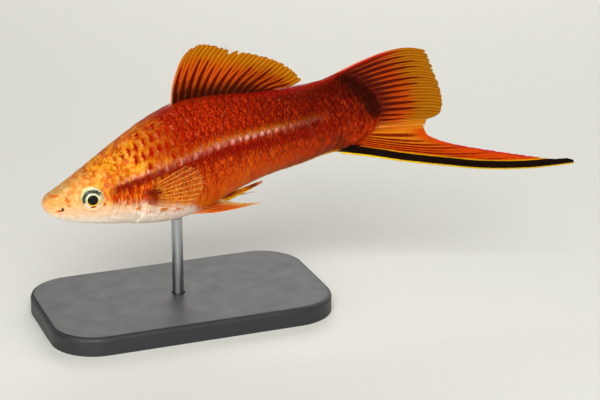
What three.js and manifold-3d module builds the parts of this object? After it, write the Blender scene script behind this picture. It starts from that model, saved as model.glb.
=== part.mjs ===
// A male swordtail, life size and still, swimming nose down above a plain display stand.
//
// Millimetres. The fish is drawn in its own space: x runs back from the tip of the snout, z up to the back,
// and y across, with the left side at -y. It is then bent at the tail, pitched and lifted onto its rod.
import * as THREE from "three";
import { mergeVertices } from "three/addons/utils/BufferGeometryUtils.js";
import Module from "manifold-3d";

const wasm = await Module();
wasm.setup();

// The pose
const GAP = 0.3; // between two pieces that touch
const PITCH = THREE.MathUtils.degToRad(9.2); // nose down
const TAIL_TURN = THREE.MathUtils.degToRad(14); // the tail swings to the left side
const BEND_FROM = 34; // the back bone is straight ahead of here
const BEND_TO = 76; // and straight again behind here

// The body's outline, from the snout to the flesh over the tail's root. The width is half the body's.
// The widest line is the height at which the body is widest, and a square of 2 is an ellipse.
const OUTLINE = [
  { x: 0, back: 0.95, belly: -2.65, width: 1.9, widest: -0.5, square: 2.3 },
  { x: 4, back: 2.3, belly: -5.15, width: 3.2, widest: -0.7, square: 2.4 },
  { x: 10, back: 4.9, belly: -7.45, width: 4.75, widest: -0.6, square: 2.3 },
  { x: 17, back: 8.35, belly: -9.6, width: 6.0, widest: -0.5, square: 2.1 },
  { x: 25, back: 11.8, belly: -11.4, width: 6.8, widest: 0.2, square: 2.0 },
  { x: 32, back: 13.5, belly: -11.3, width: 6.9, widest: 1.0, square: 2.0 },
  { x: 40, back: 13.0, belly: -9.2, width: 6.2, widest: 1.8, square: 2.0 },
  { x: 48, back: 11.6, belly: -7.6, width: 5.1, widest: 2.3, square: 2.0 },
  { x: 56, back: 10.7, belly: -6.9, width: 3.9, widest: 2.3, square: 2.0 },
  { x: 64, back: 10.8, belly: -6.1, width: 2.5, widest: 2.3, square: 2.0 },
  { x: 70, back: 12.5, belly: -7.6, width: 1.25, widest: 2.3, square: 2.0 },
  { x: 76, back: 14.0, belly: -10.2, width: 0.4, widest: 2.3, square: 2.0 },
];
const SNOUT_ROUND = 1.6; // length over which the snout's tip closes
const RING_POINTS = 36;
const HEAD_STEP = 0.85; // ring spacing on the head
const TRUNK_STEP = 1.7; // and behind it

// Where the flesh is parted
const GILL_TOP = 16.2; // x of the gill cover's edge at the back
const GILL_BULGE = 4.2; // how far the edge reaches behind that
const GILL_MIDDLE = -2.2; // z of its rearmost point
const GILL_REACH = 9.5; // from there to where the edge has come forward by the bulge
const GILL_RAISED = 0.28; // the cover stands out from the trunk
const GILL_LENGTH = 6; // of the raised cover, ahead of its edge
const STALK_FROM = 52; // x where the tail stalk begins
const FLESH_END = 66.5; // x of the flesh's rear edge at the tail's corners
const FLESH_BULGE = 7.5; // how far it reaches behind that in the middle
const FLESH_MIDDLE = 2.4; // z of its rearmost point
const FLESH_HALF = 9.2; // half its height

// The head
const EYE = { x: 9.55, out: 4.63, z: -0.1, radius: 2.75, depth: 1.6 }; // its opening's middle, and half sizes
const EYE_PROUD = 0.5; // the ball stands this far out of its opening
const EYE_TILT = THREE.MathUtils.degToRad(12); // an eye looks forward by this much
const MOUTH_TIP = new THREE.Vector2(-0.05, -0.2); // (x, z) of the closed lips in front
const MOUTH_CORNER = new THREE.Vector2(3.35, -1.45); // and at the cheeks
const MOUTH_SLIT = 0.3;
const LIP = 0.5; // radius of a lip
const NOSTRIL = { x: 5.3, z: 1.15, radius: 0.42 };

// The stand
const BASE = { x: 30, length: 62, width: 36, height: 4, corner: 9, bevel: 0.8 };
const ROD_RADIUS = 1.2;
const ROD_AT = 27.5; // x in fish space where the rod meets the belly
const SOCKET_DEPTH = 2.6; // the rod stands this deep in the base
const BELLY_CLEAR = 17; // from the base's top to the lowest fin

// Curves through a short row of values
const channels = ["back", "belly", "width", "widest", "square"];
const outlineAt = new THREE.CubicInterpolant(
  OUTLINE.map((station) => station.x),
  OUTLINE.flatMap((station) => channels.map((name) => station[name])),
  channels.length,
);

// The body's section at x, grown outwards by grow.
function section(x, grow = 0) {
  const inside = THREE.MathUtils.clamp(x, 0, OUTLINE.at(-1).x);
  const [back, belly, width, widest, square] = outlineAt.evaluate(inside);
  const open = THREE.MathUtils.clamp(1 - inside / SNOUT_ROUND, 0, 1);
  const round = Math.sqrt(1 - open * open);
  return {
    up: (back - widest) * round + grow,
    down: (widest - belly) * round + grow,
    width: width * round + grow,
    widest,
    square,
  };
}

// The half width of the body's side at (x, z).
function sideAt(x, z) {
  const s = section(x);
  const share = (z - s.widest) / (z > s.widest ? s.up : s.down);
  const power = z > s.widest ? s.square : 2;
  return s.width * Math.pow(Math.max(0, 1 - Math.pow(Math.abs(share), power)), 1 / power);
}

// One closed solid from its points and triangles, turned right side out.
function solidFrom(points, triangles) {
  const build = (faces) =>
    new wasm.Manifold(
      new wasm.Mesh({
        numProp: 3,
        vertProperties: new Float32Array(points.flat()),
        triVerts: new Uint32Array(faces.flat()),
      }),
    );
  const made = build(triangles);
  return made.volume() > 0 ? made : build(triangles.map(([a, b, c]) => [a, c, b]));
}

// A three.js geometry as a solid.
function solidOf(geometry) {
  const bare = geometry.clone();
  bare.deleteAttribute("normal");
  bare.deleteAttribute("uv");
  const merged = mergeVertices(bare, 1e-4);
  return new wasm.Manifold(
    new wasm.Mesh({
      numProp: 3,
      vertProperties: merged.getAttribute("position").array,
      triVerts: new Uint32Array(merged.index.array),
    }),
  );
}

// The largest closed piece of a solid.
function largest(solid) {
  return solid.decompose().reduce((a, b) => (a.volume() > b.volume() ? a : b));
}

// How far the gill cover stands out of the body at (x, z).
function coverRaised(x, z) {
  const ahead = gillEdge(z) - x;
  const rise = THREE.MathUtils.smoothstep(GILL_LENGTH - ahead, 0, GILL_LENGTH);
  const side = THREE.MathUtils.smoothstep(GILL_REACH - Math.abs(z - GILL_MIDDLE), 0, GILL_REACH * 0.5);
  return GILL_RAISED * rise * side;
}

// x of the gill cover's rear edge at the height z.
function gillEdge(z) {
  const away = (z - GILL_MIDDLE) / GILL_REACH;
  return GILL_TOP + GILL_BULGE * (1 - away * away);
}

// x of the rear edge of the flesh over the tail's root, at the height z.
function fleshEdge(z) {
  const away = (z - FLESH_MIDDLE) / FLESH_HALF;
  return FLESH_END + FLESH_BULGE * (1 - away * away);
}

// The whole body as rings from the snout to the tail, with the sides raised by a function of (x, z).
function bodySolid(grow = 0, raised = () => 0) {
  const places = [];
  for (let x = 0.06; x < GILL_TOP + GILL_BULGE + 1; x += x < SNOUT_ROUND ? 0.3 : HEAD_STEP) places.push(x);
  const rest = OUTLINE.at(-1).x - places.at(-1);
  const steps = Math.round(rest / TRUNK_STEP);
  const from = places.at(-1);
  for (let i = 1; i <= steps; i++) places.push(from + (rest * i) / steps);
  const points = [[-grow, 0, section(0).widest]];
  for (const x of places) {
    const s = section(x, grow);
    const ahead = grow * Math.max(0, 1 - x / SNOUT_ROUND);
    for (let k = 0; k < RING_POINTS; k++) {
      const turn = (2 * Math.PI * k) / RING_POINTS;
      const power = Math.cos(turn) > 0 ? 2 / s.square : 1;
      const high = Math.sign(Math.cos(turn)) * Math.pow(Math.abs(Math.cos(turn)), power);
      const wide = Math.sign(Math.sin(turn)) * Math.pow(Math.abs(Math.sin(turn)), power);
      const z = s.widest + high * (high > 0 ? s.up : s.down);
      const out = raised(x, z);
      points.push([x - ahead, wide * (s.width + out), z]);
    }
  }
  const last = section(places.at(-1), grow);
  points.push([places.at(-1) + grow, 0, last.widest]);
  const triangles = [];
  for (let k = 0; k < RING_POINTS; k++) {
    const next = (k + 1) % RING_POINTS;
    triangles.push([0, 1 + k, 1 + next]);
    for (let i = 0; i + 1 < places.length; i++) {
      const a = 1 + i * RING_POINTS;
      const b = a + RING_POINTS;
      triangles.push([a + k, b + k, b + next], [a + k, b + next, a + next]);
    }
    const a = 1 + (places.length - 1) * RING_POINTS;
    triangles.push([a + k, points.length - 1, a + next]);
  }
  return solidFrom(points, triangles);
}

// Everything on one side of an upright curve x = edge(z), right across the fish.
function beside(edge, from, heights = 17, steps = 28) {
  const shape = new THREE.Shape();
  shape.moveTo(from, -heights);
  for (let i = 0; i <= steps; i++) {
    const z = -heights + (2 * heights * i) / steps;
    shape.lineTo(edge(z), z);
  }
  shape.lineTo(from, heights);
  shape.closePath();
  const across = 60;
  const block = new THREE.ExtrudeGeometry(shape, { depth: across, bevelEnabled: false });
  block.translate(0, 0, -across / 2).rotateX(Math.PI / 2);
  const made = solidOf(block);
  return made;
}

// A fin is a patch between four curves: its root, its outer edge, its first ray and its last ray.
// Rays stand up as ridges on both faces, and the membrane between them ends a little short of their tips.
function finSolid(fin) {
  const { rays, steps, thick, tip, ridge, notch = 0.97, sway = () => 0, place } = fin;
  const curve = (points) =>
    new THREE.CatmullRomCurve3(points.map(([a, b]) => new THREE.Vector3(a, b, 0)), false, "centripetal");
  const [rootCurve, edgeCurve, firstCurve, lastCurve] = [fin.root, fin.edge, fin.first, fin.last].map(curve);
  const columns = 2 * (rays - 1) + 1;
  const patch = (u, s) => {
    const across = (c, d) => c.clone().lerp(d, u);
    const p = across(firstCurve.getPointAt(s), lastCurve.getPointAt(s));
    p.add(rootCurve.getPointAt(u).lerp(edgeCurve.getPointAt(u), s));
    const corners = across(rootCurve.getPointAt(0), rootCurve.getPointAt(1)).lerp(
      across(edgeCurve.getPointAt(0), edgeCurve.getPointAt(1)),
      s,
    );
    return p.sub(corners);
  };
  const points = [];
  for (const side of [-1, 1]) {
    for (let i = 0; i < columns; i++) {
      const u = i / (columns - 1);
      const onRay = i % 2 === 0;
      for (let j = 0; j <= steps; j++) {
        const s = (j / steps) * (onRay ? 1 : notch);
        const p = patch(u, s);
        const half = THREE.MathUtils.lerp(thick, tip, s) / 2 + (onRay ? ridge * (1 - 0.5 * s) : 0);
        points.push(place(p.x, p.y, sway(u, s) + side * half));
      }
    }
  }
  const at = (side, i, j) => (side * columns + i) * (steps + 1) + j;
  const triangles = [];
  const quad = (a, b, c, d) => triangles.push([a, b, c], [a, c, d]);
  for (let i = 0; i + 1 < columns; i++) {
    for (let j = 0; j < steps; j++) {
      quad(at(0, i, j), at(0, i, j + 1), at(0, i + 1, j + 1), at(0, i + 1, j));
      triangles.push(
        [at(1, i, j), at(1, i + 1, j + 1), at(1, i, j + 1)],
        [at(1, i, j), at(1, i + 1, j), at(1, i + 1, j + 1)],
      );
    }
    quad(at(0, i, 0), at(0, i + 1, 0), at(1, i + 1, 0), at(1, i, 0));
    quad(at(0, i + 1, steps), at(0, i, steps), at(1, i, steps), at(1, i + 1, steps));
  }
  for (let j = 0; j < steps; j++) {
    quad(at(0, 0, j + 1), at(0, 0, j), at(1, 0, j), at(1, 0, j + 1));
    quad(at(0, columns - 1, j), at(0, columns - 1, j + 1), at(1, columns - 1, j + 1), at(1, columns - 1, j));
  }
  return solidFrom(points, triangles);
}

const inThePlaneOfTheFish = (a, b, off) => [a, off, b];
const backAt = (x) => outlineAt.evaluate(x)[0];
const bellyAt = (x) => outlineAt.evaluate(x)[1];

// The flesh: head, trunk and tail stalk, parted by thin cuts
const aheadOfGills = beside(gillEdge, -20);
const aheadOfTrunk = beside((z) => gillEdge(z) + GAP, -20);
const behindTrunk = beside(() => STALK_FROM, 120);
const aheadOfStalk = beside(() => STALK_FROM + GAP, -20);
const behindFlesh = beside(fleshEdge, 120);
const behindGrownFlesh = beside((z) => fleshEdge(z) + GAP, 120);

const body = bodySolid();
const grownBody = bodySolid(GAP).subtract(behindGrownFlesh);
const trunk = largest(body.subtract(aheadOfTrunk).subtract(behindTrunk));
const tailStalk = largest(body.subtract(aheadOfStalk).subtract(behindFlesh));

// A lip follows the mouth from one cheek round the tip to the other, off to one side of the slit.
function lipSolid(off) {
  const along = MOUTH_CORNER.clone().sub(MOUTH_TIP);
  const across = new THREE.Vector2(-along.y, along.x).normalize().multiplyScalar(off);
  const points = [];
  const steps = 8;
  for (let i = -steps; i <= steps; i++) {
    const share = Math.pow(Math.abs(i) / steps, 1.6);
    const p = MOUTH_TIP.clone().addScaledVector(along, share);
    const side = Math.max(0.02, sideAt(Math.max(0.05, p.x), p.y) - LIP * 0.55);
    points.push(new THREE.Vector3(p.x + across.x + LIP * 0.4, Math.sign(i) * side, p.y + across.y));
  }
  const section = new THREE.Shape().absarc(0, 0, LIP, 0, 2 * Math.PI);
  const path = new THREE.CatmullRomCurve3(points, false, "centripetal");
  return solidOf(new THREE.ExtrudeGeometry(section, { steps: 22, curveSegments: 4, extrudePath: path }));
}

function mouthSlit() {
  const along = MOUTH_CORNER.clone().sub(MOUTH_TIP);
  const ahead = 2;
  const length = along.length() + ahead;
  const slit = new THREE.BoxGeometry(length, 12, MOUTH_SLIT);
  slit.translate(length / 2 - ahead, 0, 0);
  slit.rotateY(Math.atan2(-along.y, along.x));
  slit.translate(MOUTH_TIP.x, 0, MOUTH_TIP.y);
  return solidOf(slit);
}

function eyeBall(side, grow = 0) {
  const ball = new THREE.SphereGeometry(1, 18, 12);
  ball.scale(EYE.radius + grow, EYE.depth + grow, EYE.radius + grow);
  ball.translate(0, side * (EYE_PROUD - EYE.depth), 0);
  ball.rotateZ(side * EYE_TILT);
  ball.translate(EYE.x, side * EYE.out, EYE.z);
  return solidOf(ball);
}

function nostril(side) {
  const pit = new THREE.IcosahedronGeometry(NOSTRIL.radius, 1);
  pit.translate(NOSTRIL.x, side * sideAt(NOSTRIL.x, NOSTRIL.z), NOSTRIL.z);
  return solidOf(pit);
}

let head = bodySolid(0, coverRaised).intersect(aheadOfGills);
head = head.add(lipSolid(LIP * 0.8)).add(lipSolid(-LIP * 0.8)).subtract(mouthSlit());
for (const side of [-1, 1]) head = head.subtract(eyeBall(side, GAP)).subtract(nostril(side));
head = largest(head);

// The dorsal fin rises from the back just behind the nape, and its last rays lie along the back.
const DORSAL_FROM = 30.7;
const DORSAL_TO = 50.5;
const SUNK = 1.1; // how far a fin's root goes into the flesh before it is trimmed to it
const dorsalFin = finSolid({
  root: [0, 0.33, 0.67, 1].map((u) => {
    const x = THREE.MathUtils.lerp(DORSAL_FROM, DORSAL_TO, u);
    return [x, backAt(x) - SUNK];
  }),
  first: [[DORSAL_FROM, backAt(DORSAL_FROM) - SUNK], [31.6, 16.2], [33.2, 19.8], [35.2, 22.7], [37.2, 24.1]],
  last: [[DORSAL_TO, backAt(DORSAL_TO) - SUNK], [53.4, 11.2], [56.6, 11.1], [58.3, 11.4], [59.5, 11.9]],
  edge: [
    [37.2, 24.1], [39.7, 24.5], [42.5, 23.5], [48.8, 20.5],
    [53.2, 18.4], [56.4, 16.2], [58.3, 13.9], [59.5, 11.9],
  ],
  rays: 13,
  steps: 9,
  thick: 0.6,
  tip: 0.34,
  ridge: 0.17,
  notch: 0.95,
  sway: (u, s) => 0.35 * s * Math.sin(5 * u + 0.4),
  place: inThePlaneOfTheFish,
});

// The tail fin's fan, above the sword
const FAN_LOW = -2.9; // z where the fan ends and the sword begins, at the root
const rootOfTail = (top, low) =>
  [0, 0.25, 0.5, 0.75, 1].map((u) => {
    const z = THREE.MathUtils.lerp(top, low, u);
    return [fleshEdge(z) - 1.3 * SUNK, z];
  });
const tailTop = rootOfTail(11.05, FAN_LOW);
const tailFin = finSolid({
  root: tailTop,
  first: [tailTop[0], [71.9, 12.85], [78.3, 14.2], [83, 14.2], [86.8, 12.95]],
  last: [tailTop.at(-1), [77, -3.8], [84.2, -4.45]],
  edge: [
    [86.8, 12.95], [88.1, 7.8], [88.9, 3.8], [89.15, 1.1],
    [88.7, -1.1], [87.6, -2.4], [85.1, -2.9], [84.2, -4.45],
  ],
  rays: 16,
  steps: 9,
  thick: 0.7,
  tip: 0.34,
  ridge: 0.16,
  notch: 0.97,
  sway: (u, s) => 0.5 * s * s * Math.sin(4.2 * u - 0.6),
  place: inThePlaneOfTheFish,
});

// The sword: the tail's lowest rays, which end one after another along its upper edge
const swordRoot = rootOfTail(FAN_LOW - GAP, -6.55);
const sword = finSolid({
  root: swordRoot,
  first: [swordRoot[0], [77, -4.15], [84.2, -4.8]],
  last: [
    swordRoot.at(-1), [71.7, -8.7], [78, -11.05], [86.6, -13.85],
    [96.3, -16.75], [106.2, -18.65], [116.6, -19.6],
  ],
  edge: [
    [84.2, -4.8], [84.9, -6.3], [88.1, -8.5], [93.6, -10.95],
    [106.5, -15.75], [111.5, -17.5], [116.2, -18.5], [116.6, -19.6],
  ],
  rays: 7,
  steps: 22,
  thick: 0.8,
  tip: 0.36,
  ridge: 0.16,
  notch: 0.99,
  sway: (u, s) => (0.62 * u - 0.22) * s * s,
  place: inThePlaneOfTheFish,
});

// A pectoral fin spreads from behind the gill cover and stands off the side by its flare.
const flare = (degrees) => Math.tan(THREE.MathUtils.degToRad(degrees));
const PECTORAL_FLARE = { "-1": flare(15), 1: flare(19) };
function pectoralFin(side) {
  const top = [20.7, -1.2];
  const low = [20.5, -4.1];
  const off = sideAt(top[0], -2.6) + 0.05;
  return finSolid({
    root: [top, [20.9, -2.7], low],
    first: [top, [25.4, 1.0], [29.6, 2.7]],
    last: [low, [24.6, -5.7], [28.2, -6.6]],
    edge: [[29.6, 2.7], [31.5, 1.6], [32.5, -0.6], [32.0, -3.0], [30.4, -5.1], [28.2, -6.6]],
    rays: 11,
    steps: 6,
    thick: 0.55,
    tip: 0.34,
    ridge: 0.12,
    notch: 0.97,
    sway: (u, s) => 0.8 * s * (1 - s),
    place: (a, b, away) => [a, side * (off + (a - top[0]) * PECTORAL_FLARE[side] + away), b],
  });
}

// A pelvic fin lies back along the belly, splayed out and down, with one long ray.
const PELVIC = { x: 31.6, off: 1.35, up: 1.2, drop: 4.5, splay: 1.5, roll: 30 };
function pelvicFin(side) {
  const turn = new THREE.Matrix4().makeRotationFromEuler(
    new THREE.Euler(
      THREE.MathUtils.degToRad(PELVIC.roll) * -side,
      THREE.MathUtils.degToRad(PELVIC.drop),
      THREE.MathUtils.degToRad(PELVIC.splay) * side,
      "ZYX",
    ),
  );
  return finSolid({
    root: [[-1.2, 1.2], [-1.2, 0], [-1.2, -1.2]],
    first: [[-1.2, 1.2], [4, 2.1], [9, 2.2], [14.9, 1.85]],
    last: [[-1.2, -1.2], [2.6, -1.7], [5.8, -1.6]],
    edge: [[14.9, 1.85], [10.9, 1.2], [8.6, 0.4], [7, -0.6], [5.8, -1.6]],
    rays: 6,
    steps: 8,
    thick: 0.6,
    tip: 0.36,
    ridge: 0.14,
    notch: 0.9,
    place: (a, b, away) => {
      const p = new THREE.Vector3(a, side * b, away).applyMatrix4(turn);
      return [PELVIC.x + p.x, side * PELVIC.off + p.y, bellyAt(PELVIC.x) + PELVIC.up + p.z];
    },
  });
}

// The male's anal fin is a slim rod of a few fused rays that points back close under the belly.
const gonopodium = finSolid({
  root: [[36.9, -8.6], [36.3, -8.9], [35.7, -9.2]],
  first: [[36.9, -8.6], [39.6, -9.6], [43.5, -9.25], [47.4, -8.75]],
  last: [[35.7, -9.2], [37.9, -10.9], [42, -10.4], [46.9, -9.25]],
  edge: [[47.4, -8.75], [47.5, -9.05], [46.9, -9.25]],
  rays: 3,
  steps: 10,
  thick: 0.9,
  tip: 0.5,
  ridge: 0.16,
  notch: 1,
  place: inThePlaneOfTheFish,
});

// The fish's centre line at the distance x along it: its place and how far it has turned.
function spineAt(x) {
  const turnPerMm = TAIL_TURN / (BEND_TO - BEND_FROM);
  const inBend = THREE.MathUtils.clamp(x, BEND_FROM, BEND_TO) - BEND_FROM;
  const angle = turnPerMm * inBend;
  const behind = Math.max(0, x - BEND_TO);
  return {
    x: Math.min(x, BEND_FROM) + Math.sin(angle) / turnPerMm + behind * Math.cos(angle),
    y: -(1 - Math.cos(angle)) / turnPerMm - behind * Math.sin(angle),
    angle,
  };
}

// A solid's points, bent with the fish, as a three.js geometry.
function geometryOf(solid, bend = true) {
  const mesh = solid.getMesh();
  const count = mesh.numVert;
  const position = new Float32Array(count * 3);
  for (let i = 0; i < count; i++) {
    const [x, y, z] = mesh.vertProperties.subarray(i * mesh.numProp, i * mesh.numProp + 3);
    const spine = bend ? spineAt(x) : { x, y: 0, angle: 0 };
    position.set([spine.x + y * Math.sin(spine.angle), spine.y + y * Math.cos(spine.angle), z], i * 3);
  }
  const geometry = new THREE.BufferGeometry();
  geometry.setAttribute("position", new THREE.BufferAttribute(position, 3));
  geometry.setIndex(new THREE.BufferAttribute(new Uint32Array(mesh.triVerts), 1));
  geometry.computeVertexNormals();
  return geometry;
}

const finish = (color, roughness, more = {}) => new THREE.MeshStandardMaterial({ color, roughness, ...more });
const redFlesh = finish("#b5300c", 0.42);
const paleHead = finish("#d98a3c", 0.4);
const orangeFin = finish("#d9690f", 0.45, { side: THREE.DoubleSide });
const darkFin = finish("#a8380c", 0.45, { side: THREE.DoubleSide });
const eyeGlaze = finish("#c9b98a", 0.12);
const standFinish = finish("#3a3d40", 0.5);
const rodMetal = finish("#b9bcc0", 0.3, { metalness: 0.9 });

const fish = new THREE.Group();
function add(group, name, geometry, material) {
  const mesh = new THREE.Mesh(geometry, material);
  mesh.name = name;
  group.add(mesh);
}

add(fish, "head", geometryOf(head), paleHead);
add(fish, "trunk", geometryOf(trunk), redFlesh);
add(fish, "tail_stalk", geometryOf(tailStalk), redFlesh);
const rooted = (fin) => geometryOf(largest(fin.subtract(grownBody)));
add(fish, "dorsal_fin", rooted(dorsalFin), darkFin);
add(fish, "tail_fin", rooted(tailFin), orangeFin);
add(fish, "sword", rooted(sword), orangeFin);
add(fish, "gonopodium", rooted(gonopodium), orangeFin);
for (const [name, side] of [["left", -1], ["right", 1]]) {
  add(fish, `eye_${name}`, geometryOf(eyeBall(side)), eyeGlaze);
  add(fish, `pectoral_fin_${name}`, rooted(pectoralFin(side)), orangeFin);
  add(fish, `pelvic_fin_${name}`, rooted(pelvicFin(side)), orangeFin);
}

// The fish is pitched, then set so that its box is centred over the base and it clears the base's top.
fish.rotation.y = -PITCH;
fish.updateMatrixWorld(true);
const fishBox = new THREE.Box3().setFromObject(fish, true);
fish.position.set(-(fishBox.min.x + fishBox.max.x) / 2, 0, BASE.height + BELLY_CLEAR - fishBox.min.z);
fish.updateMatrixWorld(true);

// The base is a low block with round corners, and the rod stands in a socket in it.
const stand = new THREE.Group();
const rodPlace = new THREE.Vector3(ROD_AT, 0, bellyAt(ROD_AT)).applyMatrix4(fish.matrixWorld);
const baseX = new THREE.Vector3(BASE.x, 0, 0).applyMatrix4(fish.matrixWorld).x;

function baseSolid() {
  const [l, w, r] = [BASE.length / 2 - BASE.bevel, BASE.width / 2 - BASE.bevel, BASE.corner];
  const plan = new THREE.Shape();
  plan.absarc(l - r, w - r, r, 0, Math.PI / 2);
  plan.absarc(r - l, w - r, r, Math.PI / 2, Math.PI);
  plan.absarc(r - l, r - w, r, Math.PI, 1.5 * Math.PI);
  plan.absarc(l - r, r - w, r, 1.5 * Math.PI, 2 * Math.PI);
  const block = new THREE.ExtrudeGeometry(plan, {
    depth: BASE.height - BASE.bevel,
    bevelThickness: BASE.bevel,
    bevelSize: BASE.bevel,
    bevelSegments: 2,
    curveSegments: 5,
  });
  const bevelled = solidOf(block);
  const keep = new THREE.BoxGeometry(BASE.length + 2, BASE.width + 2, BASE.height);
  keep.translate(0, 0, BASE.height / 2);
  return bevelled.intersect(solidOf(keep));
}

const socket = new THREE.CylinderGeometry(ROD_RADIUS + GAP, ROD_RADIUS + GAP, SOCKET_DEPTH, 24);
socket.rotateX(Math.PI / 2).translate(rodPlace.x - baseX, 0, BASE.height - SOCKET_DEPTH / 2 + 0.001);
const base = baseSolid().subtract(solidOf(socket));
const baseGeometry = geometryOf(base, false).translate(baseX, 0, 0);
add(stand, "stand_base", baseGeometry, standFinish);

const rodBottom = BASE.height - SOCKET_DEPTH + GAP;
const rodLength = rodPlace.z + 4 - rodBottom;
const rod = new THREE.CylinderGeometry(ROD_RADIUS, ROD_RADIUS, rodLength, 20);
rod.rotateX(Math.PI / 2).translate(rodPlace.x, 0, rodBottom + rodLength / 2);
const grownBelly = solidOf(geometryOf(grownBody).applyMatrix4(fish.matrixWorld));
const cutRod = solidOf(rod).subtract(grownBelly);
const lower = cutRod.decompose().reduce((a, b) => (a.boundingBox().min[2] < b.boundingBox().min[2] ? a : b));
add(stand, "stand_rod", geometryOf(lower, false), rodMetal);

const model = new THREE.Group();
model.add(fish, stand);
model.updateMatrixWorld(true);
const box = new THREE.Box3().setFromObject(model, true);
model.position.x = -(box.min.x + box.max.x) / 2;

export default model;
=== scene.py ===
# %% [markdown]
# # A male swordtail on its stand
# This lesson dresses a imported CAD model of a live-bearing fish in Blender. The solids give the true size and
# place of everything. The skin, the scales, the fins and the eyes are made here around them, in metres.

import math

import bmesh
import bpy
import numpy as np
from mathutils import Matrix, Vector


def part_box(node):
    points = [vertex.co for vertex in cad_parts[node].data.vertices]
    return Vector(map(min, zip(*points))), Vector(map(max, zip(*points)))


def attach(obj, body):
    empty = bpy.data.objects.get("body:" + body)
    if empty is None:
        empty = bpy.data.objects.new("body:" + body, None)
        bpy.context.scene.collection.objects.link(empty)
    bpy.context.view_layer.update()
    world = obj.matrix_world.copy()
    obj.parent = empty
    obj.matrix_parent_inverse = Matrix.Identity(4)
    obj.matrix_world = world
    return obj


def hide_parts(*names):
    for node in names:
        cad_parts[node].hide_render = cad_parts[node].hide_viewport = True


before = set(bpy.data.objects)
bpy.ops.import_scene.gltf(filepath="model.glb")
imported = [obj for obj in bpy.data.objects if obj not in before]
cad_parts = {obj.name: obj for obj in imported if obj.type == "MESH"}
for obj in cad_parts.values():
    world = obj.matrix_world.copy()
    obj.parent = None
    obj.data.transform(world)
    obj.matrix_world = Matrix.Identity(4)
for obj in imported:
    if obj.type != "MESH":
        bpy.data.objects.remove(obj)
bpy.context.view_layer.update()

# %% [markdown]
# ## Working along the fish
# A fish is easiest to draw straight: x runs back from the tip of the snout, z up to the back and y across,
# all in millimetres. One function then bends the tail, pitches the body and lifts it to its place, so every
# piece that is drawn in this space fits its neighbours. An eye of the CAD model tells where the fish is.

# %% From fish space to the model
PITCH = math.radians(9.2)
TAIL_TURN = math.radians(14)
BEND_FROM, BEND_TO = 34.0, 76.0
EYE_TILT = math.radians(12)
EYE_DISC = np.array([9.55, 4.63, -0.1])
EYE_RADIUS, EYE_DEPTH, EYE_PROUD, LID_RADIUS = 2.75, 1.6, 0.5, 2.42
EYE_LOOKS = np.array([-math.sin(EYE_TILT), math.cos(EYE_TILT), 0])
EYE_AT = EYE_DISC - (EYE_DEPTH - EYE_PROUD) * EYE_LOOKS
SIDES = (("left", -1), ("right", 1))


def pitched(points):
    """Turns points nose down about the tip of the snout."""
    x, y, z = np.asarray(points, float).T
    c, s = math.cos(PITCH), math.sin(PITCH)
    return np.stack([x * c - z * s, y, x * s + z * c], -1)


eye_low, eye_high = (1000 * np.array(corner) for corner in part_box("eye_left"))
FISH_AT = (eye_low + eye_high) / 2 - pitched(EYE_AT * [1, -1, 1])


def place(points):
    """Fish space in millimetres to the model's own space in metres."""
    x, y, z = np.asarray(points, float).T
    per_mm = TAIL_TURN / (BEND_TO - BEND_FROM)
    angle = per_mm * (np.clip(x, BEND_FROM, BEND_TO) - BEND_FROM)
    behind = np.maximum(0, x - BEND_TO)
    spine_x = np.minimum(x, BEND_FROM) + np.sin(angle) / per_mm + behind * np.cos(angle)
    spine_y = (np.cos(angle) - 1) / per_mm - behind * np.sin(angle)
    bent = np.stack([spine_x + y * np.sin(angle), spine_y + y * np.cos(angle), z], -1)
    return (pitched(bent) + FISH_AT) / 1000


print("the tip of the snout is at", place(np.zeros(3)))


# %% [markdown]
# ## Small helpers for meshes
# Meshes here start as rows of points, so a helper turns points and faces into an object, and another writes
# a value at each point as a named attribute, which a material can read later.

# %% Mesh helpers
def smoothstep(low, high, value):
    """0 up to low, 1 from high, and smooth between the two."""
    share = np.clip((value - low) / (high - low), 0, 1)
    return share * share * (3 - 2 * share)


def fade(low, high, value):
    """1 up to low, 0 from high, and smooth between the two."""
    return 1 - smoothstep(low, high, value)


def bump(value, middle, width):
    """A soft hill of height 1 around middle."""
    return np.exp(-(((value - middle) / width) ** 2))


def mark(mesh, name, values):
    """Stores a number or a vector at each point of a mesh."""
    values = np.asarray(values, float)
    kind, field = ("FLOAT", "value") if values.ndim == 1 else ("FLOAT_VECTOR", "vector")
    attribute = mesh.attributes.get(name) or mesh.attributes.new(name, kind, "POINT")
    attribute.data.foreach_set(field, values.ravel())


def points_of(mesh):
    values = np.empty(len(mesh.vertices) * 3)
    mesh.vertices.foreach_get("co", values)
    return values.reshape(-1, 3)


def new_object(name, data):
    made = bpy.data.objects.new(name, data)
    bpy.context.scene.collection.objects.link(made)
    return made


def mesh_object(name, points, faces=(), edges=()):
    mesh = bpy.data.meshes.new(name)
    listed = [f.tolist() if hasattr(f, "tolist") else f for f in faces]
    mesh.from_pydata(np.asarray(points).tolist(), [tuple(e) for e in edges], listed)
    return new_object(name, mesh)


def grid_faces(rows, columns, closed=False, first=0, flip=False):
    """Quads of a grid of points whose columns run fastest; closed joins the last column to the first."""
    i, j = np.meshgrid(np.arange(rows - 1), np.arange(columns if closed else columns - 1), indexing="ij")
    a = first + (i * columns + j).ravel()
    b = first + (i * columns + (j + 1) % columns).ravel()
    quads = np.stack([a, b, b + columns, a + columns], 1)
    return quads[:, ::-1] if flip else quads


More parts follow.
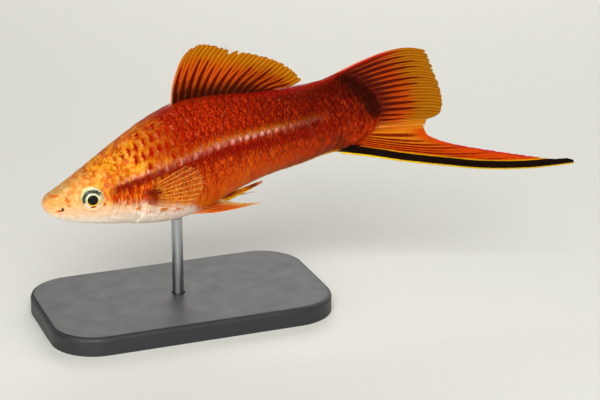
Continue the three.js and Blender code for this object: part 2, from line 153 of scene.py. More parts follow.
def sheet_faces(rows, columns):
    """Quads of a closed sheet: a grid of points, a second grid under it and the rim between the two."""
    grid = np.arange(rows * columns).reshape(rows, columns)
    rim = np.concatenate([grid[0], grid[1:, -1], grid[-1, -2::-1], grid[-2:0:-1, 0]])
    following = np.roll(rim, -1)
    rim_quads = np.stack([following, rim, rim + grid.size, following + grid.size], 1)
    under = grid_faces(rows, columns, first=grid.size, flip=True)
    return np.concatenate([grid_faces(rows, columns), under, rim_quads])


def settle(obj, material, nodes=()):
    """Moves a mesh drawn in fish space to its place, gives it a material and hides the CAD nodes it replaces.
    """
    mesh = obj.data
    points = points_of(mesh)
    mark(mesh, "fish", points)
    mesh.vertices.foreach_set("co", place(points).ravel())
    mesh.update()
    mesh.materials.clear()
    mesh.materials.append(material)
    mesh.shade_smooth()
    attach(obj, "root")
    if nodes:
        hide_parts(*nodes)
    print(f"{obj.name}: {len(mesh.polygons)} faces")


# %% [markdown]
# ## Small helpers for nodes
# A material is a tree of nodes, and writing one out by hand is long. A wire is a node's output that can be
# added, subtracted, multiplied and divided like a number, where each step adds a node. The other helpers
# feed a socket with a wire, a plain value or a web colour, and make noises, mixes and groups out of wires.

# %% Wires between nodes
class Wire:
    """A node's output, to be reckoned with like a number."""

    def __init__(self, tree, socket):
        self.tree, self.socket = tree, socket

    def maths(self, operation, *others):
        return wire(self.tree, "ShaderNodeMath", [self, *others], operation=operation)

    def __add__(self, other):
        return self.maths("ADD", other)

    def __sub__(self, other):
        return self.maths("SUBTRACT", other)

    def __mul__(self, other):
        return self.maths("MULTIPLY", other)

    def __truediv__(self, other):
        return self.maths("DIVIDE", other)


def rgb(code):
    """A colour written as a web colour, in the linear light that nodes work in."""
    parts = [int(code[i : i + 2], 16) / 255 for i in (1, 3, 5)]
    return (*(p / 12.92 if p <= 0.04045 else ((p + 0.055) / 1.055) ** 2.4 for p in parts), 1.0)


def feed(socket, value):
    """Links a socket to a wire, or sets it to a plain value or a web colour."""
    if isinstance(value, Wire):
        value.tree.links.new(value.socket, socket)
    elif isinstance(value, str) and value.startswith("#"):
        socket.default_value = rgb(value)
    elif value is not None:
        socket.default_value = value


def node(tree, kind, inputs=(), **settings):
    made = tree.nodes.new(kind)
    for key, value in settings.items():
        setattr(made, key, value)
    for key, value in inputs.items() if isinstance(inputs, dict) else enumerate(inputs):
        feed(made.inputs[key], value)
    return made


def wire(tree, kind, inputs=(), output=0, **settings):
    """Adds a node and returns one of its outputs as a wire."""
    return Wire(tree, node(tree, kind, inputs, **settings).outputs[output])


def wires(tree, outputs):
    return {socket.name: Wire(tree, socket) for socket in outputs}


# %% Mixes, ramps and noises
def mixed(share, first, second):
    """The first colour where share is 0, the second where it is 1."""
    return wire(share.tree, "ShaderNodeMix", {0: share, 6: first, 7: second}, 2, data_type="RGBA")


def painted(colour, *layers):
    """Lays colours over a first one in turn, each where its share is high."""
    for share, over in layers:
        colour = mixed(share, colour, over)
    return colour


def between(value, low, high):
    """0 up to low, 1 from high, and smooth between the two."""
    limits = {0: value, 1: low, 2: high}
    return wire(value.tree, "ShaderNodeMapRange", limits, interpolation_type="SMOOTHSTEP")


def shifted(value, noise_wire, amount):
    """Moves a value up and down with a noise that swings about a half."""
    return (noise_wire - 0.5) * amount + value


def ramp(value, stops):
    made = node(value.tree, "ShaderNodeValToRGB", [value])
    elements = made.color_ramp.elements
    while len(elements) < len(stops):
        elements.new(0.5)
    for element, (position, colour) in zip(elements, stops):
        element.position, element.color = position, rgb(colour)
    return Wire(value.tree, made.outputs[0])


def noise(vector, scale, detail=2.0, roughness=0.5, stretch=None):
    if stretch:
        vector = wire(vector.tree, "ShaderNodeMapping", {0: vector, 3: stretch})
    inputs = {"Vector": vector, "Scale": scale, "Detail": detail, "Roughness": roughness}
    return wire(vector.tree, "ShaderNodeTexNoise", inputs)


def vectors(operation, first, *others, output=0):
    return wire(first.tree, "ShaderNodeVectorMath", [first, *others], output, operation=operation)


def scaled(vector, by):
    return wire(vector.tree, "ShaderNodeVectorMath", {0: vector, "Scale": by}, operation="SCALE")


def distance(vector, centre, stretch):
    """How far a vector lies from a centre, with each direction stretched."""
    away = vectors("MULTIPLY", vectors("SUBTRACT", vector, centre), stretch)
    return vectors("LENGTH", away, output="Value")


def seen(tree, name, output="Fac"):
    """A mesh's named attribute, as a number or as a vector."""
    return wire(tree, "ShaderNodeAttribute", output=output, attribute_name=name)


# %% Groups and materials
def new_group(name, inputs, outputs, kind="ShaderNodeTree"):
    tree = bpy.data.node_groups.new(name, kind)
    for label, socket, value in inputs:
        made = tree.interface.new_socket(label, in_out="INPUT", socket_type=socket)
        if value is not None:
            made.default_value = value
    for label, socket in outputs:
        tree.interface.new_socket(label, in_out="OUTPUT", socket_type=socket)
    return tree, wires(tree, node(tree, "NodeGroupInput").outputs), node(tree, "NodeGroupOutput").inputs


def new_material(name, roughness, **sockets):
    """A material with a Principled shader, whose plain values are set on the shader's own sockets."""
    material = bpy.data.materials.new(name)
    material.use_nodes = True
    shader = material.node_tree.nodes["Principled BSDF"].inputs
    shader["Roughness"].default_value = roughness
    for label, value in sockets.items():
        feed(shader[label.replace("_", " ")], value)
    return material, material.node_tree, shader


def engrave(shader, height, strength, distance_mm):
    """Gives a material a relief too fine for a mesh."""
    inputs = {"Strength": strength, "Distance": distance_mm / 1000, "Height": height}
    feed(shader["Normal"], wire(height.tree, "ShaderNodeBump", inputs))


# %% [markdown]
# ## The body's shape
# The body is a loft: a row of sections, each an ellipse with its own height above and below its widest line.
# The same short table as in the CAD source gives them, joined by a cubic curve.

# %% The outline
OUTLINE = np.array([
    # x, back, belly, half width, height of the widest line, squareness above it
    [0, 0.95, -2.65, 1.9, -0.5, 2.3],
    [4, 2.3, -5.15, 3.2, -0.7, 2.4],
    [10, 4.9, -7.45, 4.75, -0.6, 2.3],
    [17, 8.35, -9.6, 6.0, -0.5, 2.1],
    [25, 11.8, -11.4, 6.8, 0.2, 2.0],
    [32, 13.5, -11.3, 6.9, 1.0, 2.0],
    [40, 13.0, -9.2, 6.2, 1.8, 2.0],
    [48, 11.6, -7.6, 5.1, 2.3, 2.0],
    [56, 10.7, -6.9, 3.9, 2.3, 2.0],
    [64, 10.8, -6.1, 2.5, 2.3, 2.0],
    [70, 12.5, -7.6, 1.25, 2.3, 2.0],
    [76, 14.0, -10.2, 0.4, 2.3, 2.0],
])
SNOUT_ROUND = 1.6


def outline_at(x):
    """Back, belly, half width, widest height and squareness at each x, by a cubic through the table."""
    places, values = OUTLINE[:, 0], OUTLINE[:, 1:]
    x = np.clip(np.asarray(x, float), places[0], places[-1])
    low = np.clip(np.searchsorted(places, x, side="right") - 1, 0, len(places) - 2)
    high = low + 1
    before = np.where(low > 0, low - 1, high)
    after = np.where(high < len(places) - 1, np.minimum(high + 1, len(places) - 1), low)
    step = places[high] - places[low]
    w_before = step / 2 / (places[low] - places[before])
    w_after = step / 2 / (places[after] - places[high])
    p = (x - places[low]) / step
    p2, p3 = p * p, p * p * p
    shares = (
        (before, -w_before * p3 + 2 * w_before * p2 - w_before * p),
        (low, (1 + w_before) * p3 + (-1.5 - 2 * w_before) * p2 + (-0.5 + w_before) * p + 1),
        (high, (-1 - w_after) * p3 + (1.5 + w_after) * p2 + 0.5 * p),
        (after, w_after * p3 - w_after * p2),
    )
    total = sum(values[index] * share[..., None] for index, share in shares)
    return np.moveaxis(total, -1, 0)


def back_at(x):
    return outline_at(x)[0]


def belly_at(x):
    return outline_at(x)[1]


def body_points(x, turn):
    """Points of the plain body at x, turned from the back at 0 down the right side to the belly at pi."""
    back, belly, width, widest, square = outline_at(x)
    opened = np.clip(1 - x / SNOUT_ROUND, 0, 1)
    rounded = np.sqrt(np.maximum(0, 1 - opened * opened))
    c, s = np.cos(turn), np.sin(turn)
    power = np.where(c > 0, 2 / square, 1.0)
    high = np.sign(c) * np.abs(c) ** power
    wide = np.sign(s) * np.abs(s) ** power
    z = widest + high * np.where(high > 0, back - widest, widest - belly) * rounded
    return np.stack([x + 0 * z, wide * width * rounded, z], -1)


def side_at(x, z):
    """The half width of the body at (x, z)."""
    back, belly, width, widest, square = outline_at(x)
    above = z > widest
    share = np.abs(z - widest) / np.where(above, back - widest, widest - belly)
    power = np.where(above, square, 2.0)
    return width * np.maximum(0, 1 - share**power) ** (1 / power)


print("half width at the eye:", side_at(EYE_DISC[0], EYE_DISC[2]))

# %% [markdown]
# ## The skin
# On the real fish one skin runs from the lips to the tail's root, so one closed mesh stands for the CAD
# model's head, trunk and tail stalk, and no cut shows. Rings of points are closest at the snout, where the
# lips and nostrils are, and the features are pushed in or out along the surface's own direction. That keeps
# them as real shape, which a bump in a material would not.

# %% Where the features are
GILL_TOP, GILL_BULGE, GILL_MIDDLE, GILL_REACH, GILL_RAISED, GILL_LENGTH = 16.2, 4.2, -2.2, 9.5, 0.28, 6.0
FLESH_END, FLESH_BULGE, FLESH_MIDDLE, FLESH_HALF = 66.5, 7.5, 2.4, 9.2
STALK_FROM = 52.0
TAPER, ROOT_HALF = 9.5, 0.26
MOUTH_TIP, MOUTH_CORNER = np.array([-0.1, -0.2]), np.array([3.35, -1.45])
NOSTRILS = ((5.2, 1.25, 0.3), (6.2, 1.75, 0.24))  # x, z, radius
PECTORAL_ROOT = (20.9, -2.7)
AROUND = 176


def gill_edge(z):
    return GILL_TOP + GILL_BULGE * (1 - ((z - GILL_MIDDLE) / GILL_REACH) ** 2)


def flesh_edge(z):
    return FLESH_END + FLESH_BULGE * (1 - ((z - FLESH_MIDDLE) / FLESH_HALF) ** 2)


def eye_frame(side):
    """The middle of the eye's opening and its three directions: outwards, back and up."""
    back = np.array([math.cos(EYE_TILT), side * math.sin(EYE_TILT), 0])
    return EYE_DISC * [1, side, 1], EYE_LOOKS * [1, side, 1], back, np.array([0, 0, 1.0])


# %% The rings of the skin
snout = SNOUT_ROUND * (1 - np.cos(np.linspace(0.06, math.pi / 2, 30)))
head = np.concatenate([np.arange(SNOUT_ROUND + 0.13, 5.6, 0.14), np.arange(5.7, 22.4, 0.24)])
trunk = np.arange(22.6, STALK_FROM, 0.5)
ahead_of_stalk = np.concatenate([snout, head, trunk])
along_stalk = np.linspace(0, 1, 52)
turns = 2 * math.pi * np.arange(AROUND) / AROUND

rings = body_points(ahead_of_stalk[:, None], turns[None, :])
reach = along_stalk[:, None] + 0 * turns[None, :]
x = STALK_FROM + reach * (FLESH_END - STALK_FROM)
for _ in range(12):
    stalk = body_points(x, turns[None, :] + 0 * x)
    x = STALK_FROM + reach * (np.maximum(flesh_edge(stalk[..., 2]), STALK_FROM + 8) - STALK_FROM)
stalk = body_points(x, turns[None, :] + 0 * x)
closing = smoothstep(0, TAPER, flesh_edge(stalk[..., 2]) - stalk[..., 0])
stalk[..., 1] = stalk[..., 1] * closing + (1 - closing) * np.clip(stalk[..., 1], -ROOT_HALF, ROOT_HALF)
plain = np.concatenate([rings, stalk])
skin_u = np.concatenate([ahead_of_stalk, STALK_FROM + along_stalk * (FLESH_END + FLESH_BULGE - STALK_FROM)])
print("rings of skin:", len(plain))


# %% Push the features in and out
def normals_of(grid):
    along = np.gradient(grid, axis=0)
    wrapped = np.concatenate([grid[:, -1:], grid, grid[:, :1]], 1)
    across = (wrapped[:, 2:] - wrapped[:, :-2]) / 2
    normal = np.cross(across, along)
    return normal / np.maximum(np.linalg.norm(normal, axis=-1, keepdims=True), 1e-9)


def mouth_marks(points):
    """How far along the slit of the mouth each point lies, and how far above it."""
    gape = MOUTH_CORNER - MOUTH_TIP
    rel = points[..., [0, 2]] - MOUTH_TIP
    share = rel @ gape / (gape @ gape)
    above = (rel[..., 1] * gape[0] - rel[..., 0] * gape[1]) / math.sqrt(gape @ gape)
    return share, above


def skin_relief(points):
    """The height of the skin's features above the plain body, in millimetres."""
    x, y, z = np.moveaxis(points, -1, 0)
    share, above = mouth_marks(points)
    lips = fade(0.86, 1.12, share) * (0.25 + 0.75 * smoothstep(0, 0.9, x))
    relief = -0.2 * bump(above, 0, 0.1) * lips
    relief += 0.05 * bump(above, 0.34, 0.2) * lips + 0.07 * bump(above, -0.36, 0.24) * lips
    relief -= 0.05 * bump(np.abs(above), 0.8, 0.16) * lips * smoothstep(0.15, 0.5, share)
    relief -= 0.3 * bump(share, 1.0, 0.1) * bump(above, 0.05, 0.28)
    for nx, nz, radius in NOSTRILS:
        away = np.hypot(x - nx, z - nz)
        relief += 0.09 * bump(away, radius * 1.5, radius * 0.45) - 0.34 * bump(away, 0, radius * 0.75)
    ahead = gill_edge(z) - x
    sides = smoothstep(0, GILL_REACH * 0.5, GILL_REACH - np.abs(z - GILL_MIDDLE))
    cover = smoothstep(-0.02, 0.22, ahead) * fade(0, GILL_LENGTH, ahead)
    relief += GILL_RAISED * 1.1 * cover * sides - 0.16 * bump(ahead, -0.16, 0.2) * sides
    cheek = 14.4 - 0.05 * (z + 0.5) ** 2
    low_face = smoothstep(-8, -5.6, z) * fade(1.2, 3.4, z)
    relief += (0.06 * bump(x, cheek - 0.7, 0.5) - 0.1 * bump(x, cheek, 0.26)) * low_face
    jaw = -3.7 - 0.23 * (x - 4)
    relief -= 0.09 * bump(z, jaw - 1.3, 0.3) * smoothstep(3, 5, x) * fade(10, 13, x)
    relief += 0.04 * np.sin(1.7 * x + 0.6 * z) * np.sin(1.3 * z - 0.4 * x) * smoothstep(3, 9, x)
    root = np.hypot((x - PECTORAL_ROOT[0]) * 0.8, (z - PECTORAL_ROOT[1]) * 0.62)
    relief += 0.34 * fade(0.2, 1.5, root) * (np.abs(y) > 3)
    return relief


def opened_for_eyes(points):
    """Sinks the skin inside each eye's opening and rolls a soft lid round it."""
    for _, side in SIDES:
        middle, out, back, up = eye_frame(side)
        rel = points - middle
        away = np.hypot(rel @ back, rel @ up)
        near = (side * points[..., 1] > 2) & (away < 4.5)
        sunk = 1.5 * fade(LID_RADIUS - 0.22, LID_RADIUS + 0.06, away)
        lid = 0.13 * bump(away, LID_RADIUS + 0.22, 0.2) - 0.07 * bump(away, LID_RADIUS + 0.75, 0.24)
        around = LID_RADIUS + 1.2
        level = np.where(away < around, 0.16 * fade(LID_RADIUS, around, away), 0)
        points = points + (near * (lid + level - sunk))[..., None] * out
    return points


sculpted = plain + normals_of(plain) * skin_relief(plain)[..., None]
sculpted = opened_for_eyes(sculpted)
UPPER_LIP_PROUD = 0.06
upper = smoothstep(-0.1, 0.35, -mouth_marks(plain)[1]) * fade(1.0, 3.5, plain[..., 0])
sculpted[..., 0] -= UPPER_LIP_PROUD * upper
print("highest relief on the skin:", float(skin_relief(plain).max()), "mm")

# %% Share of the girth at each point
lengths = np.linalg.norm(np.roll(plain, -1, axis=1) - plain, axis=-1)
girth = np.concatenate([np.zeros((len(plain), 1)), np.cumsum(lengths, 1)], 1)
half = AROUND // 2
skin_q = girth[:, :AROUND] / girth[:, half : half + 1]
skin_q[:, half + 1 :] -= (girth[:, AROUND] / girth[:, half])[:, None]
print("girth at the deepest part:", float(girth[:, AROUND].max()), "mm")

# %% [markdown]
# ## Where each colour lies
# The markings are the same on the skin and on the scales over it, so they are worked out once, from a
# point's place in fish space, and stored as attributes: how high it lies on the side, the pale line along
# the flank with a painted glint in dashes on it and the crimson band below it, the dark patch at the tail's
# root, and the pale throat. Painted shadow in the mouth's slit and fold and round the eyes is stored the same
# way, and so is a brighter top edge of the back that is partly painted rim light.

# %% Where the markings are
SCALE_PITCH = 1.75
STRIPE = np.array([
    [8, 0.9], [15.7, 1.7], [22.2, 2.6], [28.8, 3.3], [34.6, 4.1],
    [40.6, 4.25], [47.6, 3.8], [54.6, 3.3], [76, 3.1],
])
PALE_TOP = np.array([
    [0, -1.3], [4, -1.7], [9, -2.3], [12.8, -2.8], [18.9, -4.1],
    [25.2, -5.9], [29.6, -7.8], [32, -10.4], [40, -16],
])
FRECKLES = (  # x, z, half length, half height of each orange mark on the head
    (2.5, 1.35, 1.0, 0.26), (4.65, 0.42, 0.5, 0.85), (4.8, -1.0, 0.26, 0.28), (2.75, -1.75, 0.95, 0.32),
    (11.9, -2.0, 0.34, 0.55), (12.35, 0.2, 0.26, 1.2), (13.3, -1.4, 0.3, 0.6), (18.6, -5.0, 0.6, 1.2),
    (20.7, -6.3, 0.6, 0.9), (23.9, -6.7, 1.4, 0.6), (27.0, -7.8, 1.2, 0.6),
)
# Painted shadow in the fold at the corner of the mouth: x, z, half length and half height of each mark.
MOUTH_FOLD_SHADOWS = ((3.38, -1.38, 0.34, 0.44), (3.0, -1.7, 0.38, 0.13))
ROOT_PATCH = np.array([[67.2, 10.6], [69.6, 8.2], [71.4, 5.4], [72.8, 2.4], [73.4, 0.2]])
RIGHT_SHIFT = 0.4


def speckled(x, z, spots):
    return sum(bump(np.hypot((x - a) / wide, (z - b) / high), 0, 1) for a, b, wide, high in spots)


def below_pale_top(x, z):
    return np.interp(x, PALE_TOP[:, 0], PALE_TOP[:, 1]) - z


# %% Write them on a mesh
def marked(mesh, points):
    """Writes the markings at each point of a mesh that is still in fish space."""
    x, y, z = points.T
    back, belly = back_at(x), belly_at(x)
    line = np.interp(x, STRIPE[:, 0], STRIPE[:, 1])
    wave = 0.12 * np.sin(2.1 * x) + 0.09 * np.sin(3.7 * x + 1)
    above = z - line - wave
    ends = smoothstep(13, 19, x) * (1 - 0.75 * smoothstep(46, 60, x)) * fade(58, 66, x)
    # The pale line along the flank is the fish's own. Its dashes, one to each scale, are a painted glint.
    glint_dashes = 0.15 + 0.85 * smoothstep(-0.5, 0.5, np.sin(2 * math.pi * (x + 0.35 * z) / SCALE_PITCH))
    below = 1.15 + 0.045 * np.clip(x - 24, 0, 26)
    scallop = 0.22 * np.cos(2 * math.pi * x / SCALE_PITCH)
    band = fade(0.75, 1.15, np.abs(above + below + scallop * (above < -below)))
    cheek = smoothstep(12.4, 14.6, x) * fade(21, 24, x) * smoothstep(-4.9, -2.9, z - 0.1 * (17 - x))
    to_patch = np.interp(z, ROOT_PATCH[::-1, 1], ROOT_PATCH[::-1, 0]) - x
    ahead_of_patch = 0.5 * smoothstep(8.5, 0, to_patch) * (to_patch > 0)
    maroon = np.maximum(smoothstep(4.2, 0.3, np.abs(to_patch + 1.1)), ahead_of_patch)
    keel = fade(0.25, 0.75, z - belly) * smoothstep(36, 44, x) * fade(64.2, 65.4, x)
    share, over = mouth_marks(points)
    # A painted shadow along the slit of the mouth, and a thin painted shade in the crease where the skin meets
    # each eye.
    mouth_slit_shadow = 0.4 * bump(over, 0, 0.12) * fade(0.9, 1.05, share)
    around_eye = np.hypot((x - EYE_DISC[0]) / math.cos(EYE_TILT), z - EYE_DISC[2])
    eye_rim_shadow = 0.36 * bump(around_eye, LID_RADIUS + 0.25, 0.13)
    on_side = x + RIGHT_SHIFT * (y > 0)
    # These painted shadows, with the one in the mouth's fold, make one mark.
    dark = np.maximum(np.maximum(speckled(on_side, z, MOUTH_FOLD_SHADOWS), mouth_slit_shadow), eye_rim_shadow)
    for name, values in dict(
        height=(z - belly) / (back - belly),
        along=x / 75,
        stripe=bump(above, 0.05, 0.31) * ends * glint_dashes,
        gold=bump(above, 0.75, 0.5) * ends,
        band=band * smoothstep(12.5, 15.5, x) * (1 - smoothstep(44, 68, x) * 0.6),
        cheek=cheek * fade(0.6, 1.8, z - 0.16 * (x - 14)),
        blotch=bump(x, 22.4, 2.1) * bump(z + 0.12 * (x - 22.4), -2.1, 1.1),
        maroon=maroon * smoothstep(-2.4, 1.6, z) * fade(9.4, 12.8, z),
        pale=smoothstep(-2.7, 1.8, below_pale_top(x, z)),
        keel=keel,
        wedge=smoothstep(64.3, 64.9, x) * smoothstep(0, 0.3, belly + np.clip(0.5 * (x - 64.1), 0.3, 2.1) - z),
        freckle=speckled(on_side, z, FRECKLES),
        pit=dark,
        # A brighter crimson line along the top of the back to the tail: partly its own colour, partly painted
        # rim light.
        crest=smoothstep(1.1, 0.2, back - z) * smoothstep(36, 60, x),
    ).items():
        mark(mesh, name, values)


# %% The colours of the living fish, as one node group
MARKS = "Height Along Stripe Gold Band Cheek Blotch Maroon Pale Keel Wedge Freckle Pit Crest".split()


def living_colours():
    inputs = [("Fish", "NodeSocketVector", None)]
    inputs += [(name, "NodeSocketFloat", 0.0) for name in (*MARKS, "Rim", "Tone")]
    outputs = [("Color", "NodeSocketColor"), ("Mask", "NodeSocketFloat")]
    tree, given, out = new_group("Living colours", inputs, outputs)
    fish, height, along = given["Fish"], given["Height"], given["Along"]
    fine, broad = noise(fish, 1.1, 3), noise(fish, 0.28, 3)
    mottle, blobs = noise(fish, 1.1, 3, 0.6), noise(fish, 0.46, 3, 0.5)
    strokes, speck = noise(fish, 1.9, 3, 0.6, stretch=(2.0, 1.0, 0.6)), noise(fish, 2.7, 3, 0.6)
    streaky = between(noise(fish, 1.1, 3, stretch=(2.6, 1.0, 0.4)), 0.4, 0.6)

    def to_rear(low, high, first, second):
        return mixed(between(along, low, high), first, second)

    drift = given["Tone"] * 0.1 + shifted(height, broad, 0.3)
    flank = ramp(drift, [
        (0.02, "#d45a03"), (0.16, "#d04c02"), (0.36, "#bc3602"), (0.52, "#a02002"),
        (0.7, "#9e1702"), (0.85, "#a61602"), (1.0, "#8c0f02"),
    ])
    rear = ramp(drift, [
        (0.0, "#5c1802"), (0.25, "#a42702"), (0.5, "#821402"), (0.75, "#560702"), (1.0, "#460502"),
    ])
    face = painted(
        ramp(shifted(height, fine, 0.2), [
            (0.1, "#f8e2ca"), (0.34, "#f6bf8a"), (0.52, "#f2a45c"), (0.75, "#e8a04e"), (1.0, "#b8904c"),
        ]),
        (between(mottle, 0.46, 0.66) * 0.5, "#e87424"),
        (between(mottle, 0.52, 0.32) * 0.45, "#f6cea0"),
    )
    nape = painted(
        "#e08a16",
        (between(blobs, 0.5, 0.57) * 0.8, "#cc5808"),
        (between(mottle, 0.47, 0.38) * 0.45, "#eab04a"),
        (between(mottle, 0.54, 0.6) * 0.75, "#b03404"),
    )
    front = shifted(shifted(along, broad, 0.12), height - 0.1, 0.12)
    # The pale throat and belly are whitest lowest down: partly their own cream, partly painted light that lifts
    # the shade under the body.
    cream = painted(
        mixed(fine, "#fff2e4", "#f8e0c8"),
        (between(shifted(height, mottle, 0.4), 0.08, 0.36), "#eabc90"),
    )
    behind = between(height * -0.06 + along, 0.24, 0.38)
    maroon = shifted(shifted(given["Maroon"], strokes, 0.9), speck, 0.5)
    torn = between(along, 0.17, 0.22) * between(mottle, 0.56, 0.4)
    freckle = given["Freckle"] * (torn * -0.6 + 1.0)
    dots = between(noise(fish, 1.8, 3, 0.5), 0.58, 0.66) * between(height, 0.76, 0.9)
    colour = painted(
        mixed(between(front, 0.1, 0.19), face, nape),
        (between(front, 0.25, 0.44), to_rear(0.48, 0.86, flank, rear)),
        (between(shifted(given["Cheek"], streaky, 0.7), 0.35, 0.75), mixed(streaky, "#e06a0c", "#a82503")),
        (between(shifted(shifted(given["Pale"], mottle, 1.1), blobs, 0.9), 0.15, 1.0), cream),
        (between(strokes, 0.49, 0.57) * behind * between(height, 0.08, 0.5) * 0.8,
         to_rear(0.5, 0.8, "#7a0a02", "#440502")),
        (between(strokes, 0.45, 0.37) * behind * between(height, 1.35, 0.45) * 0.58,
         to_rear(0.4, 0.85, "#e66408", "#ba3a04")),
        (between(speck, 0.52, 0.6) * behind * between(height, 0.15, 0.55) * 0.6,
         to_rear(0.45, 0.8, "#700b02", "#420502")),
        (between(speck, 0.47, 0.39) * behind * between(along, 1.0, 0.5) * 0.4,
         to_rear(0.4, 0.8, "#e05406", "#a82e04")),
        (given["Rim"] * between(height, 0.1, 0.5) * behind * 0.36, "#560702"),
        (given["Gold"] * between(strokes, 0.35, 0.6) * 0.6, "#d8861a"),
        (given["Band"] * between(strokes, 0.2, 0.42) * 0.94, "#780902"),
        # The pale line along the flank, with a painted glint in dashes along it.
        (given["Stripe"] * between(fine, 0.25, 0.45) * 0.82, "#e8a294"),
        (between(shifted(given["Blotch"], fine, 0.4), 0.35, 0.7), "#660602"),
        (between(maroon, 0.1, 0.95) * 0.93, "#200503"),
        # The brighter top edge of the back, partly painted rim light.
        (given["Crest"] * 0.7, "#98120a"),
        (given["Keel"] * 0.9, "#e0a818"),
        (given["Wedge"], "#060505"),
        (between(shifted(freckle, fine, 0.3), 0.22, 0.8), to_rear(0.17, 0.22, "#cc5e08", "#d8701c")),
        # Painted shadow in the mouth's slit and fold, and in the crease round each eye.
        (between(given["Pit"], 0.25, 0.75), "#301609"),
        (dots * between(along, 0.27, 0.2) * between(along, 0.1, 0.16) * 0.7, "#4e3012"),
    )
    feed(out["Color"], colour)
    feed(out["Mask"], fine)
    return tree


LIVING = living_colours()


def in_fish(tree):
    return seen(tree, "fish", "Vector")


def coloured_by_place(tree, rim=None, tone=None):
    """Adds the living colours to a material, fed from the mesh's attributes."""
    inputs = {label: seen(tree, label.lower()) for label in MARKS}
    inputs.update(Fish=in_fish(tree), Rim=rim, Tone=tone)
    return wires(tree, node(tree, "ShaderNodeGroup", inputs, node_tree=LIVING).outputs)


# %% [markdown]
# The skin is moist and slightly clear, so its shader has a thin coat and lets a little light in. Fine pores
# come from a bump, as they are far smaller than a mesh should show.

# %% The skin's material
WARM_SHEEN = (1.0, 0.3, 0.06, 1.0)
FLESHY = dict(Subsurface_Weight=0.1, Subsurface_Radius=(1.0, 0.35, 0.15))
skin_finish, tree, shader = new_material(
    "Moist skin", 0.42, Coat_Weight=0.05, Coat_Roughness=0.14, Specular_IOR_Level=0.24,
    Specular_Tint=(1.0, 0.7, 0.45, 1.0), Subsurface_Scale=0.0009, **FLESHY,
)
feed(shader["Base Color"], coloured_by_place(tree)["Color"])
pores = noise(in_fish(tree), 6.0, 3)
engrave(shader, pores, 0.25, 0.06)
feed(shader["Roughness"], pores * 0.2 + 0.32)

# %% The skin
faces = list(grid_faces(len(sculpted), AROUND, closed=True, flip=True))
nose = sculpted[0].mean(0) - [0.004, 0, 0]
points = np.concatenate([sculpted.reshape(-1, 3), nose[None]])
tip, last = len(points) - 1, (len(sculpted) - 1) * AROUND
faces += [[tip, k, (k + 1) % AROUND] for k in range(AROUND)]
for k in range(half):
    a, b = last + k, last + k + 1
    c, d = last + (AROUND - k - 1), last + (AROUND - k) % AROUND
    faces.append([b, a, d, c] if k and k < half - 1 else ([b, a, c] if k == 0 else [b, a, d]))
skin = mesh_object("skin", points, faces)
marked(skin.data, points)
settle(skin, skin_finish, ("head", "trunk", "tail_stalk"))


# %% [markdown]
# ## The scales
# Cycloid scales lie like roof tiles: each row is half a scale out of step with the next, and each scale's
# free edge lies over the ones behind it. Geometry Nodes suit this: one plate is drawn flat, put at every
# place of the lattice, and then laid onto the body by looking up the body's surface at its flat place.

# %% One flat scale
def scale_plate(rows=6, columns=8, thick=0.5):
    """A closed plate about 1 by 1, with its root at -x, its free edge at +x and its rise above the skin."""
    s, t = np.meshgrid(np.linspace(0, 1, rows + 1), np.linspace(-1, 1, columns + 1), indexing="ij")
    spread = s[..., None] ** 0.85
    rear = np.stack([0.5 * np.cos(math.pi / 2 * t), 0.5 * np.sin(math.pi / 2 * t), 0 * s], -1)
    root = np.stack([-0.5 + 0 * t, 0.34 * t, 0 * s], -1)
    top = (root * (1 - spread) + rear * spread).reshape(-1, 3)
    rise = (-0.9 + 1.9 * s * (1 - 0.82 * t * t) - 0.2 * smoothstep(0.88, 1, s)).ravel()
    made = mesh_object("scale plate", np.concatenate([top, top]), sheet_faces(rows + 1, columns + 1))
    mark(made.data, "rise", np.concatenate([rise, rise - thick]))
    mark(made.data, "rim", np.tile(s.ravel(), 2))
    return made


plate = scale_plate()
print("faces of one scale:", len(plate.data.polygons))

# %% The lattice of scales
ROWS = 11
SCALE_LONG, SCALE_WIDE = 1.95, 2.2
HEAD_LIFT, BODY_LIFT = 0.03, 0.06
scale_seed = np.random.default_rng(7)


def lattice():
    """The place, size, lift and tone of each scale, on a flat map of x against the share of the girth."""
    found = []
    for row in range(-ROWS + 1, ROWS + 1):
        u, q = 3.0 + row % 2 * SCALE_PITCH / 2, row / ROWS
        while u < FLESH_END + FLESH_BULGE + 0.9:
            pitch = SCALE_PITCH * (1 - 0.25 * smoothstep(52, 72, u) - 0.12 * smoothstep(24, 14, u))
            ring = np.searchsorted(skin_u, u).clip(0, len(skin_u) - 1)
            x, y, z = plain[ring, np.argmin(np.abs(skin_q[ring] - (q if q < 1 else -q)))]
            behind = x - gill_edge(z)
            to_eye = math.hypot(x - EYE_DISC[0], z - EYE_DISC[2])
            on_head = behind < 0.25
            crown = z > 1.2 + 0.3 * x and x > 8.5
            cheek = behind + 0.5 * pitch < -0.5 and x > 12.6 and -6.2 < z < 4.5 and to_eye > 3.6
            if not on_head or crown or cheek:
                lift = (HEAD_LIFT if on_head else BODY_LIFT) * (1 - 0.6 * smoothstep(62, 72, u))
                lift *= 1 - 0.82 * smoothstep(-1, 1, below_pale_top(x, z))
                lift *= 1 - 0.65 * smoothstep(0.25, 0.0, abs(q)) * smoothstep(40, 24, u)
                found.append((u, q, pitch * SCALE_LONG, SCALE_WIDE / ROWS, lift, scale_seed.normal(0, 1)))
            u += pitch
    return np.array(found)


scales = lattice()
print("scales:", len(scales))

